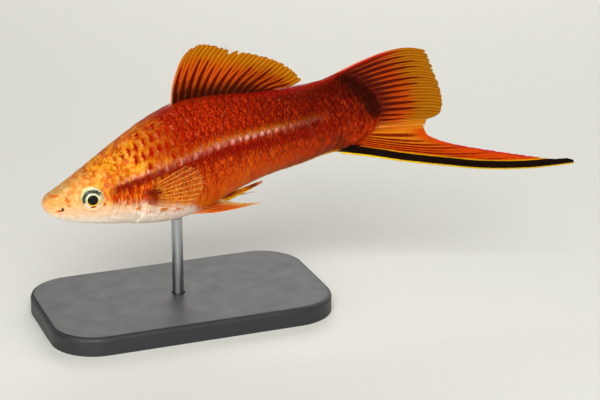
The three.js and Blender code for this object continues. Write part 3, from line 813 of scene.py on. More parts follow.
# %% A flat map of the body to lay the scales on
MAP_LENGTH, MAP_GIRTH = 100.0, 4.0
wrap = AROUND // 7
columns = np.arange(-half - wrap, half + wrap + 1)
past_end = np.arange(1, 6) * 0.7
onto_fin = sculpted[-1] + past_end[:, None, None] * [1, 0, 0]
onto_fin[..., 1] *= 1 - 0.06 * past_end[:, None]
onto_fin[..., 2] = FLESH_MIDDLE + (onto_fin[..., 2] - FLESH_MIDDLE) * (1 + 0.02 * past_end[:, None])
map_rings = np.concatenate([sculpted, onto_fin])[:, columns % AROUND]
map_u = np.concatenate([skin_u, skin_u[-1] + past_end])
map_q = np.concatenate([skin_q, np.repeat(skin_q[-1:], len(past_end), axis=0)])[:, columns % AROUND]
map_q = map_q + 2.0 * np.round((columns[None, :] / half - map_q) / 2.0)
carrier = mesh_object("body map", map_rings.reshape(-1, 3), grid_faces(len(map_rings), len(columns), flip=True))
corners = np.empty(len(carrier.data.loops), int)
carrier.data.loops.foreach_get("vertex_index", corners)
flat_map = np.stack([np.repeat(map_u / MAP_LENGTH, len(columns)), (map_q / MAP_GIRTH + 0.5).ravel()], 1)
carrier.data.uv_layers.new(name="body map").data.foreach_set("uv", flat_map[corners].ravel())
print("the map covers the girth from", float(map_q.min()), "to", float(map_q.max()))


# %% The tree that lays the scales
def scale_tree():
    inputs = [
        ("Geometry", "NodeSocketGeometry", None), ("Plate", "NodeSocketObject", None),
        ("Body Map", "NodeSocketObject", None), ("Lift", "NodeSocketFloat", 1.0),
        ("Map Length", "NodeSocketFloat", MAP_LENGTH), ("Map Girth", "NodeSocketFloat", MAP_GIRTH),
        ("Bake Patch", "NodeSocketFloat", 0.003), ("Material", "NodeSocketMaterial", None),
    ]
    outputs = [("Geometry", "NodeSocketGeometry")]
    tree, given, out = new_group("Laid scales", inputs, outputs, "GeometryNodeTree")
    here = wire(tree, "GeometryNodeInputPosition")

    def named(name, kind="FLOAT_VECTOR"):
        return wire(tree, "GeometryNodeInputNamedAttribute", {"Name": name}, "Attribute", data_type=kind)

    def stored(geometry, name, value, kind="FLOAT_VECTOR", domain="POINT"):
        inputs = {"Geometry": geometry, "Name": name, "Value": value}
        return wire(tree, "GeometryNodeStoreNamedAttribute", inputs, "Geometry", data_type=kind, domain=domain)

    def object_of(label):
        return wire(tree, "GeometryNodeObjectInfo", {"Object": given[label]}, "Geometry")

    def on_map(place_wire):
        """A flat place in the map's own shares of length and girth."""
        u, v, _ = wires(tree, node(tree, "ShaderNodeSeparateXYZ", [place_wire]).outputs).values()
        return wire(tree, "ShaderNodeCombineXYZ", [u / given["Map Length"], v / given["Map Girth"] + 0.5])

    body, at = object_of("Body Map"), on_map(here)

    def sampled(value):
        made = node(tree, "GeometryNodeSampleUVSurface", data_type="FLOAT_VECTOR")
        map_socket = "UV Map" if "UV Map" in made.inputs else 2
        for key, fed in (("Mesh", body), ("Value", value), (map_socket, named("body map")), ("Sample UV", at)):
            feed(made.inputs[key], fed)
        return Wire(tree, made.outputs[0])

    laid = wire(tree, "GeometryNodeInstanceOnPoints", {
        "Points": stored(given["Geometry"], "root", here),
        "Instance": stored(object_of("Plate"), "local", here), "Scale": named("size"),
    })
    real = wire(tree, "GeometryNodeRealizeInstances", {"Geometry": laid})
    height = named("rise", "FLOAT") * named("lift", "FLOAT") * given["Lift"]
    raised = scaled(sampled(wire(tree, "GeometryNodeInputNormal")), height)
    target = vectors("ADD", sampled(here), raised)
    real = wire(tree, "GeometryNodeSetPosition", {"Geometry": real, "Position": target})
    bake = vectors("ADD", on_map(named("root")), scaled(named("local"), given["Bake Patch"]))
    real = stored(real, "OFBake", bake, "FLOAT2", "CORNER")
    feed(out[0], wire(tree, "GeometryNodeSetMaterial", {"Geometry": real, "Material": given["Material"]}))
    return tree


def run_tree(obj, tree, values, name):
    """Runs a Geometry Nodes tree on an object and returns a plain mesh object of the result."""
    modifier = obj.modifiers.new("build", "NODES")
    modifier.node_group = tree
    for item in tree.interface.items_tree:
        if item.in_out == "INPUT" and item.name in values:
            modifier[item.identifier] = values[item.name]
    bpy.context.view_layer.update()
    evaluated = obj.evaluated_get(bpy.context.evaluated_depsgraph_get())
    mesh = bpy.data.meshes.new_from_object(evaluated)
    bpy.data.objects.remove(obj)
    mesh.name = name
    return new_object(name, mesh)


# %% The scales' material
scale_finish, tree, shader = new_material(
    "Cycloid scale", 0.4, Specular_IOR_Level=0.08, Specular_Tint=WARM_SHEEN, Subsurface_Scale=0.0007, **FLESHY,
)
tone, along, local = seen(tree, "tone"), seen(tree, "along"), seen(tree, "local", "Vector")
scale_colour = coloured_by_place(tree, rim=between(seen(tree, "rim"), 0.7, 0.95), tone=tone)["Color"]
from_spot = distance(local, (0.22, 0.0, 0.0), (1.5, 1.2, 1.0))
ragged = shifted(from_spot, noise(in_fish(tree), 2.2, 3, 0.6), 0.5)
spot = between(ragged, 0.36, 0.1) * between(tone, -1.4, -0.2) * between(seen(tree, "band"), 0.5, 0.0)
spot = spot * between(seen(tree, "height"), 0.4, 0.5) * between(seen(tree, "maroon"), 0.3, 0.0)
spot = spot * between(along, 0.16, 0.24) * between(along, 0.5, 0.34)
feed(shader["Base Color"], mixed(spot, scale_colour, "#900c02"))
growth = wire(
    tree, "ShaderNodeTexWave", {"Vector": local, "Scale": 5.0, "Distortion": 0.6}, 1,
    wave_type="RINGS", rings_direction="Z",
)
engrave(shader, growth, 0.2, 0.04)

# %% Lay the scales, one coat for each side
laying = scale_tree()
for name, chosen in (("left", scales[:, 1] < 0), ("right", scales[:, 1] >= 0)):
    u, q, long, wide, lift, tone = scales[chosen].T
    roots = mesh_object(f"scale roots {name}", np.stack([u, q, 0 * u], 1))
    for label, values in (("size", np.stack([long, wide, 1 + 0 * u], 1)), ("lift", lift), ("tone", tone)):
        mark(roots.data, label, values)
    fed = {"Plate": plate, "Body Map": carrier, "Material": scale_finish}
    coat = run_tree(roots, laying, fed, f"scales_{name}")
    marked(coat.data, points_of(coat.data))
    settle(coat, scale_finish)
for spent in (plate, carrier):
    bpy.data.objects.remove(spent)


# %% [markdown]
# ## The fins
# A fin is a clear skin stretched over bony rays. The rays start thick at the root, fork once or twice, and
# are jointed all the way, which shows as fine cross lines. The membrane is a thin closed sheet between four
# curves, the same four as in the CAD source. The rays are drawn as plain lines on it, and Geometry Nodes turn
# each line into a tapered tube.

# %% Curves through a few points
def blend(at, low, high, first, second):
    """A straight change from first at low to second at high."""
    return ((high - at) * first + (at - low) * second) / (high - low)


def spline(points, samples=400):
    """A centripetal Catmull-Rom curve, sampled at even steps of its length."""
    p = np.asarray(points, float)
    p = np.concatenate([[2 * p[0] - p[1]], p, [2 * p[-1] - p[-2]]])
    pieces = []
    for i in range(1, len(p) - 2):
        steps = np.linalg.norm(np.diff(p[i - 1 : i + 3], axis=0), axis=1) ** 0.5
        t = np.concatenate([[0], np.cumsum(np.maximum(steps, 1e-4))])
        at = np.linspace(t[1], t[2], 60, endpoint=i == len(p) - 3)[:, None]
        a = [blend(at, t[j], t[j + 1], p[i - 1 + j], p[i + j]) for j in range(3)]
        b = [blend(at, t[j], t[j + 2], a[j], a[j + 1]) for j in range(2)]
        pieces.append(blend(at, t[1], t[2], *b))
    dense = np.concatenate(pieces)
    run = np.concatenate([[0], np.cumsum(np.linalg.norm(np.diff(dense, axis=0), axis=1))])
    even = np.linspace(0, run[-1], samples)
    return np.stack([np.interp(even, run, dense[:, k]) for k in range(2)], 1)


def along_curve(curve, share):
    at = np.clip(share, 0, 1) * (len(curve) - 1)
    return np.stack([np.interp(at, np.arange(len(curve)), curve[:, k]) for k in range(2)], -1)


def zero(u, s):
    """A measure that is nought all over a fin."""
    return 0 * s


class Fin:
    """A patch between a fin's root, outer edge, first ray and last ray, in the fin's own flat plane.

    A place on it is u, from 0 at the first ray to 1 at the last, and s, from 0 at the root to 1 at the edge.
    """

    def __init__(self, root, edge, first, last, rays, place_fin, sway=zero, shade=zero, light=zero):
        self.root, self.edge, self.first, self.last = (spline(c) for c in (root, edge, first, last))
        self.rays, self.place_fin, self.sway, self.shade, self.light = rays, place_fin, sway, shade, light

    def flat(self, u, s):
        u, s = np.broadcast_arrays(np.asarray(u, float), np.asarray(s, float))
        uu, ss = u[..., None], s[..., None]
        sides = along_curve(self.first, s) * (1 - uu) + along_curve(self.last, s) * uu
        ends = along_curve(self.root, u) * (1 - ss) + along_curve(self.edge, u) * ss
        corners = (self.root[0] * (1 - uu) + self.root[-1] * uu) * (1 - ss)
        corners = corners + (self.edge[0] * (1 - uu) + self.edge[-1] * uu) * ss
        return sides + ends - corners

    def solid(self, u, s, off):
        """The place in fish space of a point that stands off the fin's middle by off."""
        p = self.flat(u, s)
        return self.place_fin(p[..., 0], p[..., 1], self.sway(u, s) + off)


def in_the_middle(a, b, off):
    return np.stack([a, off + 0 * a, b], -1)


# %% The membrane of a fin
def turned_out(obj):
    """Points every face of a closed mesh outwards."""
    work = bmesh.new()
    work.from_mesh(obj.data)
    bmesh.ops.recalc_face_normals(work, faces=work.faces)
    work.to_mesh(obj.data)
    work.free()
    return obj


def membrane(
    name, fin, per_gap=16, rows=40, thick=(0.17, 0.07), notch=0.012, ragged=0.02, seed=1, tears=(), slope=0.0,
):
    """A closed sheet with a ragged edge; slope makes the streaks between the rays shorter towards the last."""
    random = np.random.default_rng(seed)
    gaps = fin.rays - 1
    u = np.arange(gaps * per_gap + 1) / (gaps * per_gap)
    in_gap = (u * gaps) % 1
    hollow = np.sin(math.pi * in_gap)
    fine = 0.5 + 0.5 * np.cos(4 * math.pi * in_gap)
    torn = np.interp(u, np.linspace(0, 1, gaps * 4 + 1), random.uniform(0, 1, gaps * 4 + 1) ** 3)
    end = 1 - notch * (0.5 * hollow + 0.5 * fine) - ragged * torn
    for at, depth, width in tears:
        end = end - depth * np.clip(1 - np.abs(u - at) / width, 0, 1)
    s = np.linspace(0, 1, rows + 1)[:, None] * end[None, :]
    uu = u[None, :] + 0 * s
    each = random.uniform(-0.1, 0.1, gaps)[np.minimum(u * gaps, gaps - 1).astype(int)]
    half_thick = (thick[0] * (1 - s) + thick[1] * s) / 2
    pleat = 0.06 * np.sin(2 * math.pi * in_gap)[None, :] * smoothstep(0.1, 0.5, s)
    sheets = [fin.solid(uu, s, pleat + side * half_thick).reshape(-1, 3) for side in (-1, 1)]
    made = mesh_object(name, np.concatenate(sheets), sheet_faces(rows + 1, len(u)))
    for label, values in dict(
        reach=s, gap=hollow + 0 * s, fine=fine + 0 * s, streak=s + each + slope * (u - 0.5),
        shade=fin.shade(uu, s), light=fin.light(uu, s),
    ).items():
        mark(made.data, label, np.tile(values.ravel(), 2))
    return turned_out(made)


# %% The lines of the rays
def ray_lines(fin, thick=(0.15, 0.04), forks=(0.42, 0.72), step=0.2, past=1.01, seed=1, beads=0.08):
    """Draws each ray as a line that forks, with its radius, its reach and its length in millimetres."""
    random = np.random.default_rng(seed)
    points, edges, marks = [], [], []
    gap = 1 / (fin.rays - 1)

    def branch(u, drift, s_from, s_to, level, run):
        """Draws one stretch of a ray, and tells where it ends and how long the ray is up to there."""
        length = np.linalg.norm(fin.flat(u, s_to) - fin.flat(u, s_from))
        steps = max(3, int(length / step))
        s = np.linspace(s_from, s_to, steps + 1)
        side = np.clip(u + drift * smoothstep(s_from, s_from + 0.3, s), 0, 1)
        radius = (thick[0] * np.clip(1 - s, 0, 1) ** 1.3 + thick[1]) * 0.86**level
        radius = radius * (1 - beads * (np.arange(steps + 1) % 2))
        edges.extend([(len(points) + k, len(points) + k + 1) for k in range(steps)])
        points.extend(fin.solid(side, s, 0 * s))
        marks.extend(zip(radius, s, side, run + length * np.arange(steps + 1) / steps))
        return float(side[-1]), run + length

    for ray in range(fin.rays):
        u, tip = ray / (fin.rays - 1), past - random.uniform(0, 0.02)
        if ray in (0, fin.rays - 1):
            branch(u, 0, 0.0, min(tip, 1.0), 0, 0)
            continue
        one, run = branch(u, 0, 0.0, forks[0], 0, 0)
        for a in (-1, 1):
            two, run2 = branch(one, a * 0.24 * gap, forks[0], forks[1], 1, run)
            for b in (-1, 1) if forks[1] < 1 else ():
                branch(two, b * 0.11 * gap, forks[1], tip - random.uniform(0, 0.025), 2, run2)
    made = mesh_object("lines", points, edges=edges)
    radius, s, u, run = np.array(marks).T
    for label, values in dict(
        radius=radius, reach=s, run=run, shade=fin.shade(u, s), light=fin.light(u, s),
    ).items():
        mark(made.data, label, values)
    return made


# %% The tree that makes tubes of the lines
RAY_SIDES = 6


def ray_tree():
    inputs = [
        ("Geometry", "NodeSocketGeometry", None), ("Sides", "NodeSocketInt", RAY_SIDES),
        ("Material", "NodeSocketMaterial", None),
    ]
    tree, given, out = new_group("Fin rays", inputs, [("Geometry", "NodeSocketGeometry")], "GeometryNodeTree")
    radius = wire(tree, "GeometryNodeInputNamedAttribute", {"Name": "radius"}, "Attribute", data_type="FLOAT")
    lines = wire(tree, "GeometryNodeMeshToCurve", {0: given["Geometry"]})
    lines = wire(tree, "GeometryNodeSetCurveRadius", {"Curve": lines, "Radius": radius})
    circle = wire(tree, "GeometryNodeCurvePrimitiveCircle", {"Resolution": given["Sides"], "Radius": 1.0})
    tubes = node(tree, "GeometryNodeCurveToMesh", {"Curve": lines, "Profile Curve": circle, "Fill Caps": True})
    if "Scale" in tubes.inputs:
        feed(tubes.inputs["Scale"], radius)
    real = wire(tree, "GeometryNodeRealizeInstances", {"Geometry": Wire(tree, tubes.outputs[0])})
    feed(out[0], wire(tree, "GeometryNodeSetMaterial", {"Geometry": real, "Material": given["Material"]}))
    return tree


RAY_TREE = ray_tree()


# %% [markdown]
# The colours of a fin run from its root to its edge. Dark streaks lie in the membrane between the rays and
# thin out towards the edge. One node group does this for every fin but the sword, which has a material of
# its own, with the fin's own colours and the reach of its streaks as inputs.

# %% The colours of a fin, as a node group
FIN_TONES = ("Dark", "Deep", "Middle", "Edge", "Bright")
FIN_REACHES = ("Dark To", "Streaks To", "Amber From")


def fin_colours():
    floats = ("Reach", "Streak", "Gap", "Fine", "Shade", "Light", *FIN_REACHES)
    inputs = [(name, "NodeSocketFloat", 0.0) for name in floats]
    inputs += [(name, "NodeSocketColor", None) for name in FIN_TONES] + [("Fish", "NodeSocketVector", None)]
    tree, given, out = new_group("Fin colours", inputs, [("Color", "NodeSocketColor")])
    dark_to, streaks_to, amber_from = (given[label] for label in FIN_REACHES)
    broken = noise(given["Fish"], 0.9, 3, stretch=(0.5, 1, 1))
    reach, streak = shifted(given["Reach"], broken, 0.24), shifted(given["Streak"], broken, 0.24)
    narrow = streak * 0.95 + 0.26
    between_rays = between(given["Gap"], narrow, narrow + 0.12) * between(streak, streaks_to, streaks_to - 0.24)
    deep = between(reach, dark_to, dark_to - 0.28).maths("MAXIMUM", given["Shade"])
    colour = painted(
        mixed(between(reach, amber_from - 0.15, amber_from + 0.2), given["Middle"], given["Edge"]),
        (given["Fine"] * between(given["Reach"], 0.2, 0.5) * 0.6, given["Deep"]),
        (between_rays, given["Deep"]),
        (deep * 0.92, given["Dark"]),
        (given["Light"], given["Bright"]),
    )
    feed(out["Color"], colour)
    return tree


FIN_COLOURS = fin_colours()


def rooted(tree, colour):
    """Carries the living colours of the flesh over the root of a fin."""
    flesh = coloured_by_place(tree)
    past = shifted(seen(tree, "past"), flesh["Mask"], 2.5)
    return mixed(between(past, 0.2, 3.2), flesh["Color"], colour)


def rooted_marks(obj):
    """Writes the flesh's markings on a fin of the tail, and how far past the flesh each point lies."""
    points = points_of(obj.data)
    marked(obj.data, points)
    mark(obj.data, "past", points[:, 0] - flesh_edge(points[:, 2]))


# %% A fin's materials and its two pieces
THIN = dict(Subsurface_Radius=(1.0, 0.5, 0.2), Specular_Tint=WARM_SHEEN)


def fin_material(name, colours, reaches, rays=False, clear=1.0, root=False, joints=0.4):
    """A fin's membrane or ray finish: thin, moist and lit from behind, in five web colours."""
    material, tree, shader = new_material(
        name, 0.46, Specular_IOR_Level=0.2, Subsurface_Weight=0.3, Subsurface_Scale=0.0006, Alpha=clear, **THIN,
    )
    reach = seen(tree, "reach")
    inputs = dict(zip(FIN_TONES + FIN_REACHES, (*colours.split(), *reaches)), Reach=reach, Fish=in_fish(tree))
    for label in ("Shade", "Light") if rays else ("Shade", "Light", "Streak", "Gap", "Fine"):
        inputs[label] = seen(tree, label.lower())
    colour = wire(tree, "ShaderNodeGroup", inputs, node_tree=FIN_COLOURS)
    if rays:
        in_joint = ((seen(tree, "run") * 2.4).maths("FRACT") - 0.5).maths("ABSOLUTE")
        joint = between(in_joint, 0.3, 0.46) * between(reach, 0.25, 0.5) * joints
        colour = mixed(joint, colour, "#7a2a08")
    if root:
        # Along the top edge the membrane takes a crimson line, partly painted rim light, and the rays take a
        # pinkish line of painted rim light.
        top_edge = seen(tree, "crest") * between(reach, 0.8, 0.4) * 0.85
        colour = rooted(tree, mixed(top_edge, colour, "#d8604c" if rays else "#9c0f0a"))
    feed(shader["Base Color"], colour)
    return material


def make_fin(name, fin, finishes, nodes, sheet, lines, marks=(), rays_name=None):
    """Makes a fin's web, which stands for the CAD nodes, and its rays; marks are written on both."""
    web = membrane(name, fin, **sheet)
    tubes = {"Sides": RAY_SIDES, "Material": finishes[1]}
    rays = turned_out(run_tree(ray_lines(fin, **lines), RAY_TREE, tubes, rays_name or f"{name}_rays"))
    for piece in (web, rays):
        for write in marks:
            write(piece)
    settle(web, finishes[0], nodes)
    settle(rays, finishes[1])


# %% The dorsal fin
DORSAL_FROM, DORSAL_TO, SUNK = 30.7, 50.5, 1.1
dorsal_root = [(x, float(back_at(x)) - SUNK) for x in np.linspace(DORSAL_FROM, DORSAL_TO, 4)]
dorsal = Fin(
    root=dorsal_root,
    first=[dorsal_root[0], (31.6, 16.2), (33.2, 19.8), (35.2, 22.7), (37.2, 24.1)],
    last=[dorsal_root[-1], (53.4, 10.95), (56.6, 10.9), (58.3, 11.25), (59.5, 11.9)],
    edge=[
        (37.2, 24.1), (39.7, 24.5), (42.5, 23.5), (48.8, 20.5),
        (53.2, 18.4), (56.4, 16.2), (58.3, 13.9), (59.5, 11.9),
    ],
    rays=15, place_fin=in_the_middle, sway=lambda u, s: 0.35 * s * np.sin(5 * u + 0.4),
    shade=lambda u, s: np.maximum(
        bump(u, 0.7, 0.26) * fade(0.2, 0.56, s),
        0.34 * smoothstep(0.35, 0.75, u) * fade(0.6, 0.95, s),
    ),
    light=lambda u, s: 0.55 * bump(u, 0, 0.009) * fade(0.7, 0.95, s),
)
dorsal_finishes = (
    fin_material("Dorsal membrane", "#220202 #440302 #b84604 #a86804 #e89050", (0.44, 0.88, 0.68)),
    fin_material("Dorsal rays", "#300302 #983606 #ca5808 #c48416 #f0a060", (0.5, 0.5, 0.72), rays=True),
)
make_fin(
    "dorsal_fin_web", dorsal, dorsal_finishes, ("dorsal_fin",),
    sheet=dict(
        notch=0.025, ragged=0.04, seed=3, slope=-0.16,
        tears=((0.36, 0.1, 0.035), (0.43, 0.05, 0.025), (0.3, 0.04, 0.02)),
    ),
    lines=dict(seed=3),
)

# %% The tail fin's fan
FAN_LOW, SWORD_LOW = -2.9, -6.55


def tail_root(top, low):
    return [(float(flesh_edge(z)) - 1.3 * SUNK, z) for z in np.linspace(top, low, 5)]


fan_root = tail_root(11.05, FAN_LOW)
fan = Fin(
    root=fan_root,
    first=[fan_root[0], (71.9, 12.85), (78.3, 14.2), (83, 14.2), (86.8, 12.95)],
    last=[fan_root[-1], (77, -3.95), (84.2, -4.6)],
    edge=[
        (86.8, 12.95), (88.1, 7.8), (88.9, 3.8), (89.15, 1.1),
        (88.7, -1.1), (87.6, -2.4), (85.1, -2.9), (84.2, -4.6),
    ],
    rays=16, place_fin=in_the_middle, sway=lambda u, s: 0.5 * s * s * np.sin(4.2 * u - 0.6),
    shade=lambda u, s: np.maximum(
        bump(u, 0.46, 0.36) * fade(0.16, 0.5, s),
        0.7 * bump(u, 0.04, 0.15) * fade(0.3, 0.7, s),
    ),
    light=lambda u, s: np.maximum(
        # A thin pale line along the top ray is painted rim light. The yellow of the lowest rays is their own
        # colour.
        0.3 * bump(u, 0, 0.009) * fade(0.45, 0.75, s),
        0.75 * smoothstep(0.85, 0.93, u) * smoothstep(0.12, 0.3, s) * (0.35 + 0.65 * np.sin(60 * s) ** 2),
    ),
)
WEB_TONES = "#260208 #400204 #ae3a04 #9c6204 #c87014"
RAY_TONES = "#340408 #7e1a04 #b84a06 #ac7812 #f4b45c"
fan_finishes = (
    fin_material("Tail membrane", WEB_TONES, (0.3, 0.86, 0.58), root=True),
    fin_material("Tail rays", RAY_TONES, (0.46, 0.46, 0.62), rays=True, root=True),
)
make_fin(
    "tail_fin_web", fan, fan_finishes, ("tail_fin",),
    sheet=dict(seed=4, notch=0.016, ragged=0.025, slope=0.3), lines=dict(seed=4), marks=(rooted_marks,),
)

# %% The sword's shape
sword_root = tail_root(FAN_LOW, SWORD_LOW)
sword_low_edge = [
    sword_root[-1], (71.7, -8.7), (78, -11.05), (86.6, -13.85),
    (96.3, -16.75), (106.2, -18.65), (116.6, -19.6),
]
sword = Fin(
    root=sword_root, first=[sword_root[0], (77, -3.95), (84.2, -4.6)], last=sword_low_edge,
    edge=[
        (84.2, -4.6), (84.9, -6.3), (88.1, -8.5), (93.6, -10.95),
        (106.5, -15.75), (111.5, -17.5), (116.2, -18.5), (116.6, -19.6),
    ],
    rays=12, place_fin=in_the_middle, sway=lambda u, s: (0.62 * u - 0.22) * s * s,
    shade=lambda u, s: fade(0.04, 0.42, u) * fade(0.7, 0.95, s),
)


def sword_marks(obj):
    """The distance of each point from the sword's lower edge. Rays have no gaps, so those marks are 0 there."""
    x, y, z = points_of(obj.data).T
    low = spline(sword_low_edge, 900)
    mark(obj.data, "low", [np.hypot(low[:, 0] - a, low[:, 1] - b).min() for a, b in zip(x, z)])
    for label in ("gap", "streak"):
        if label not in obj.data.attributes:
            mark(obj.data, label, 0 * x)


# %% The sword's finish and pieces
sword_finish, tree, shader = new_material(
    "Sword membrane", 0.4, Specular_IOR_Level=0.12, Subsurface_Weight=0.25, Subsurface_Scale=0.0005, **THIN,
)
along, from_low, reach, streak = (seen(tree, label) for label in ("along", "low", "reach", "streak"))
broken = noise(in_fish(tree), 0.8, 3)
narrow = streak * 0.6 + 0.24
streaks = between(shifted(seen(tree, "gap"), broken, 0.5), narrow, narrow + 0.28) * between(streak, 1.0, 0.7)
margin = between(reach, 0.93, 0.985) * between(from_low, 2.2, 3.0) * between(along, 1.13, 1.23)
lower = shifted(from_low, broken, 0.12)
flame = painted(
    mixed(between(reach, 0.3, 0.8), "#c45004", "#ba3e04"),
    (seen(tree, "shade") * 0.7, "#c07a14"),
    (streaks * 0.95, "#640502"),
    (margin * 0.8, "#b4142a"),
    (between(lower, 2.3, 2.02) * between(along, 0.9, 1.08), "#c68c06"),
)
black = between(lower, 2.0, 1.84) * between(along, 0.858, 0.872)
colour = painted(
    rooted(tree, flame),
    (black.maths("MAXIMUM", between(along, 1.47, 1.5)), "#040507"),
    (between(lower, 0.32, 0.2), "#dcb410"),
)
feed(shader["Base Color"], colour)
make_fin(
    "sword_web", sword, (sword_finish, sword_finish), ("sword",),
    sheet=dict(per_gap=8, rows=150, thick=(0.3, 0.16), notch=0.012, ragged=0.006, seed=5),
    lines=dict(thick=(0.14, 0.06), forks=(0.5, 1.0), past=1.0, seed=5),
    marks=(sword_marks, rooted_marks), rays_name="sword_rays",
)

# %% [markdown]
# ## The paired fins
# The pectoral fins are clear and held out from the side behind the gill covers. The pelvic fins are small
# and lie back along the belly. Each pair is made by one function, with the side as its input.

# %% The pectoral fins
PECTORAL_FLARE = {-1: math.tan(math.radians(15)), 1: math.tan(math.radians(19))}
PECTORAL_TOP, PECTORAL_LOW = (20.7, -1.2), (20.5, -4.1)
pectoral_finishes = (
    fin_material(
        "Pectoral membrane", "#7a0a03 #d86414 #e0741a #e8963a #f0a040", (0.5, 0.4, 0.75), clear=0.07,
    ),
    fin_material(
        "Pectoral rays", "#8a1004 #e88020 #f6983c #fab868 #ffcc88", (0.42, 0.35, 0.5),
        rays=True, joints=0.0,
    ),
)


def pectoral_fin(name, side):
    off = float(side_at(PECTORAL_TOP[0], -2.6)) + 0.05

    def place_pectoral(a, b, away):
        return np.stack([a, side * (off + (a - PECTORAL_TOP[0]) * PECTORAL_FLARE[side] + away), b], -1)

    pectoral = Fin(
        root=[PECTORAL_TOP, PECTORAL_ROOT, PECTORAL_LOW],
        first=[PECTORAL_TOP, (25.4, 1.0), (29.6, 2.7)],
        last=[PECTORAL_LOW, (24.6, -5.7), (28.2, -6.6)],
        edge=[(29.6, 2.7), (31.5, 1.6), (32.5, -0.6), (32.0, -3.0), (30.4, -5.1), (28.2, -6.6)],
        rays=10, place_fin=place_pectoral, sway=lambda u, s: 0.8 * s * (1 - s),
    )
    make_fin(
        f"pectoral_web_{name}", pectoral, pectoral_finishes, (f"pectoral_fin_{name}",),
        sheet=dict(rows=36, thick=(0.14, 0.05), notch=0.03, seed=6),
        lines=dict(thick=(0.07, 0.02), forks=(0.78, 1.0), step=0.4, seed=6, beads=0.0),
    )


for name, side in SIDES:
    pectoral_fin(name, side)

# %% The pelvic fins
HIP_X, HIP_OFF, HIP_UP = 31.6, 1.35, 1.2
PELVIC_SPLAY, PELVIC_DROP, PELVIC_ROLL = math.radians(1.5), math.radians(4.5), math.radians(30)
pelvic_finishes = (
    fin_material(
        "Pelvic membrane", "#e09a80 #7a0c02 #cc4c06 #d8b060 #e0b868", (0.3, 0.95, 0.72), clear=0.85,
    ),
    fin_material("Pelvic rays", "#dc8a60 #a02c04 #de6c10 #e4b070 #f4cc8c", (0.26, 0.5, 0.72), rays=True),
)


def pelvic_fin(name, side):
    turn = np.eye(3)
    for angle, axis in ((PELVIC_SPLAY * side, "Z"), (PELVIC_DROP, "Y"), (-PELVIC_ROLL * side, "X")):
        turn = turn @ np.array(Matrix.Rotation(angle, 3, axis))
    hip = np.array([HIP_X, side * HIP_OFF, float(belly_at(HIP_X)) + HIP_UP])

    def place_pelvic(a, b, away):
        return np.stack([a, side * b, away + 0 * a], -1) @ turn.T + hip

    pelvic = Fin(
        root=[(-1.2, 1.2), (-1.2, 0), (-1.2, -1.2)],
        first=[(-1.2, 1.2), (4, 2.1), (9, 2.2), (14.9, 1.85)],
        last=[(-1.2, -1.2), (2.6, -1.7), (5.8, -1.6)],
        edge=[(14.9, 1.85), (10.9, 1.2), (8.6, 0.4), (7, -0.6), (5.8, -1.6)],
        rays=7, place_fin=place_pelvic,
        light=lambda u, s: 0.8 * smoothstep(0.6, 1.0, u) * smoothstep(0.5, 0.9, s),
    )
    make_fin(
        f"pelvic_web_{name}", pelvic, pelvic_finishes, (f"pelvic_fin_{name}",),
        sheet=dict(rows=36, thick=(0.2, 0.08), notch=0.06, ragged=0.05, seed=8),
        lines=dict(thick=(0.16, 0.045), seed=8),
    )


for name, side in SIDES:
    pelvic_fin(name, side)

# %% The gonopodium
gono = Fin(
    root=[(36.9, -8.6), (36.3, -8.9), (35.7, -9.2)],
    first=[(36.9, -8.6), (39.6, -9.6), (43.5, -9.25), (47.4, -8.75)],
    last=[(35.7, -9.2), (37.9, -10.9), (42, -10.4), (46.9, -9.25)],
    edge=[(47.4, -8.75), (47.5, -9.05), (46.9, -9.25)],
    rays=4, place_fin=in_the_middle,
    shade=lambda u, s: np.maximum(
        bump(s, 0.3, 0.2) * fade(0.25, 0.6, u), bump(s, 0.8, 0.13) * fade(0.7, 1.0, u),
    ),
    light=lambda u, s: 0.85 * smoothstep(0.6, 0.95, u) * fade(0.8, 0.95, s),
)
gono_finish = fin_material("Gonopodium", "#6a0a08 #a04006 #d8820e #e8b0a0 #e2a616", (0.0, 0.5, 0.98))
make_fin(
    "gonopodium_web", gono, (gono_finish, gono_finish), ("gonopodium",),
    sheet=dict(rows=40, per_gap=6, thick=(0.5, 0.3), notch=0.0, ragged=0.0, seed=9),
    lines=dict(thick=(0.26, 0.12), forks=(0.6, 0.9), past=1.0, seed=9),
)

# %% [markdown]
# ## The eyes
# A fish's eye has no lids that close. A shallow ball stands a little out of the head, with a bright ring round
# a pupil that the lens fills. The ring, the iris and the dark arc above are drawn by the distance and the
# direction from the pupil's middle.

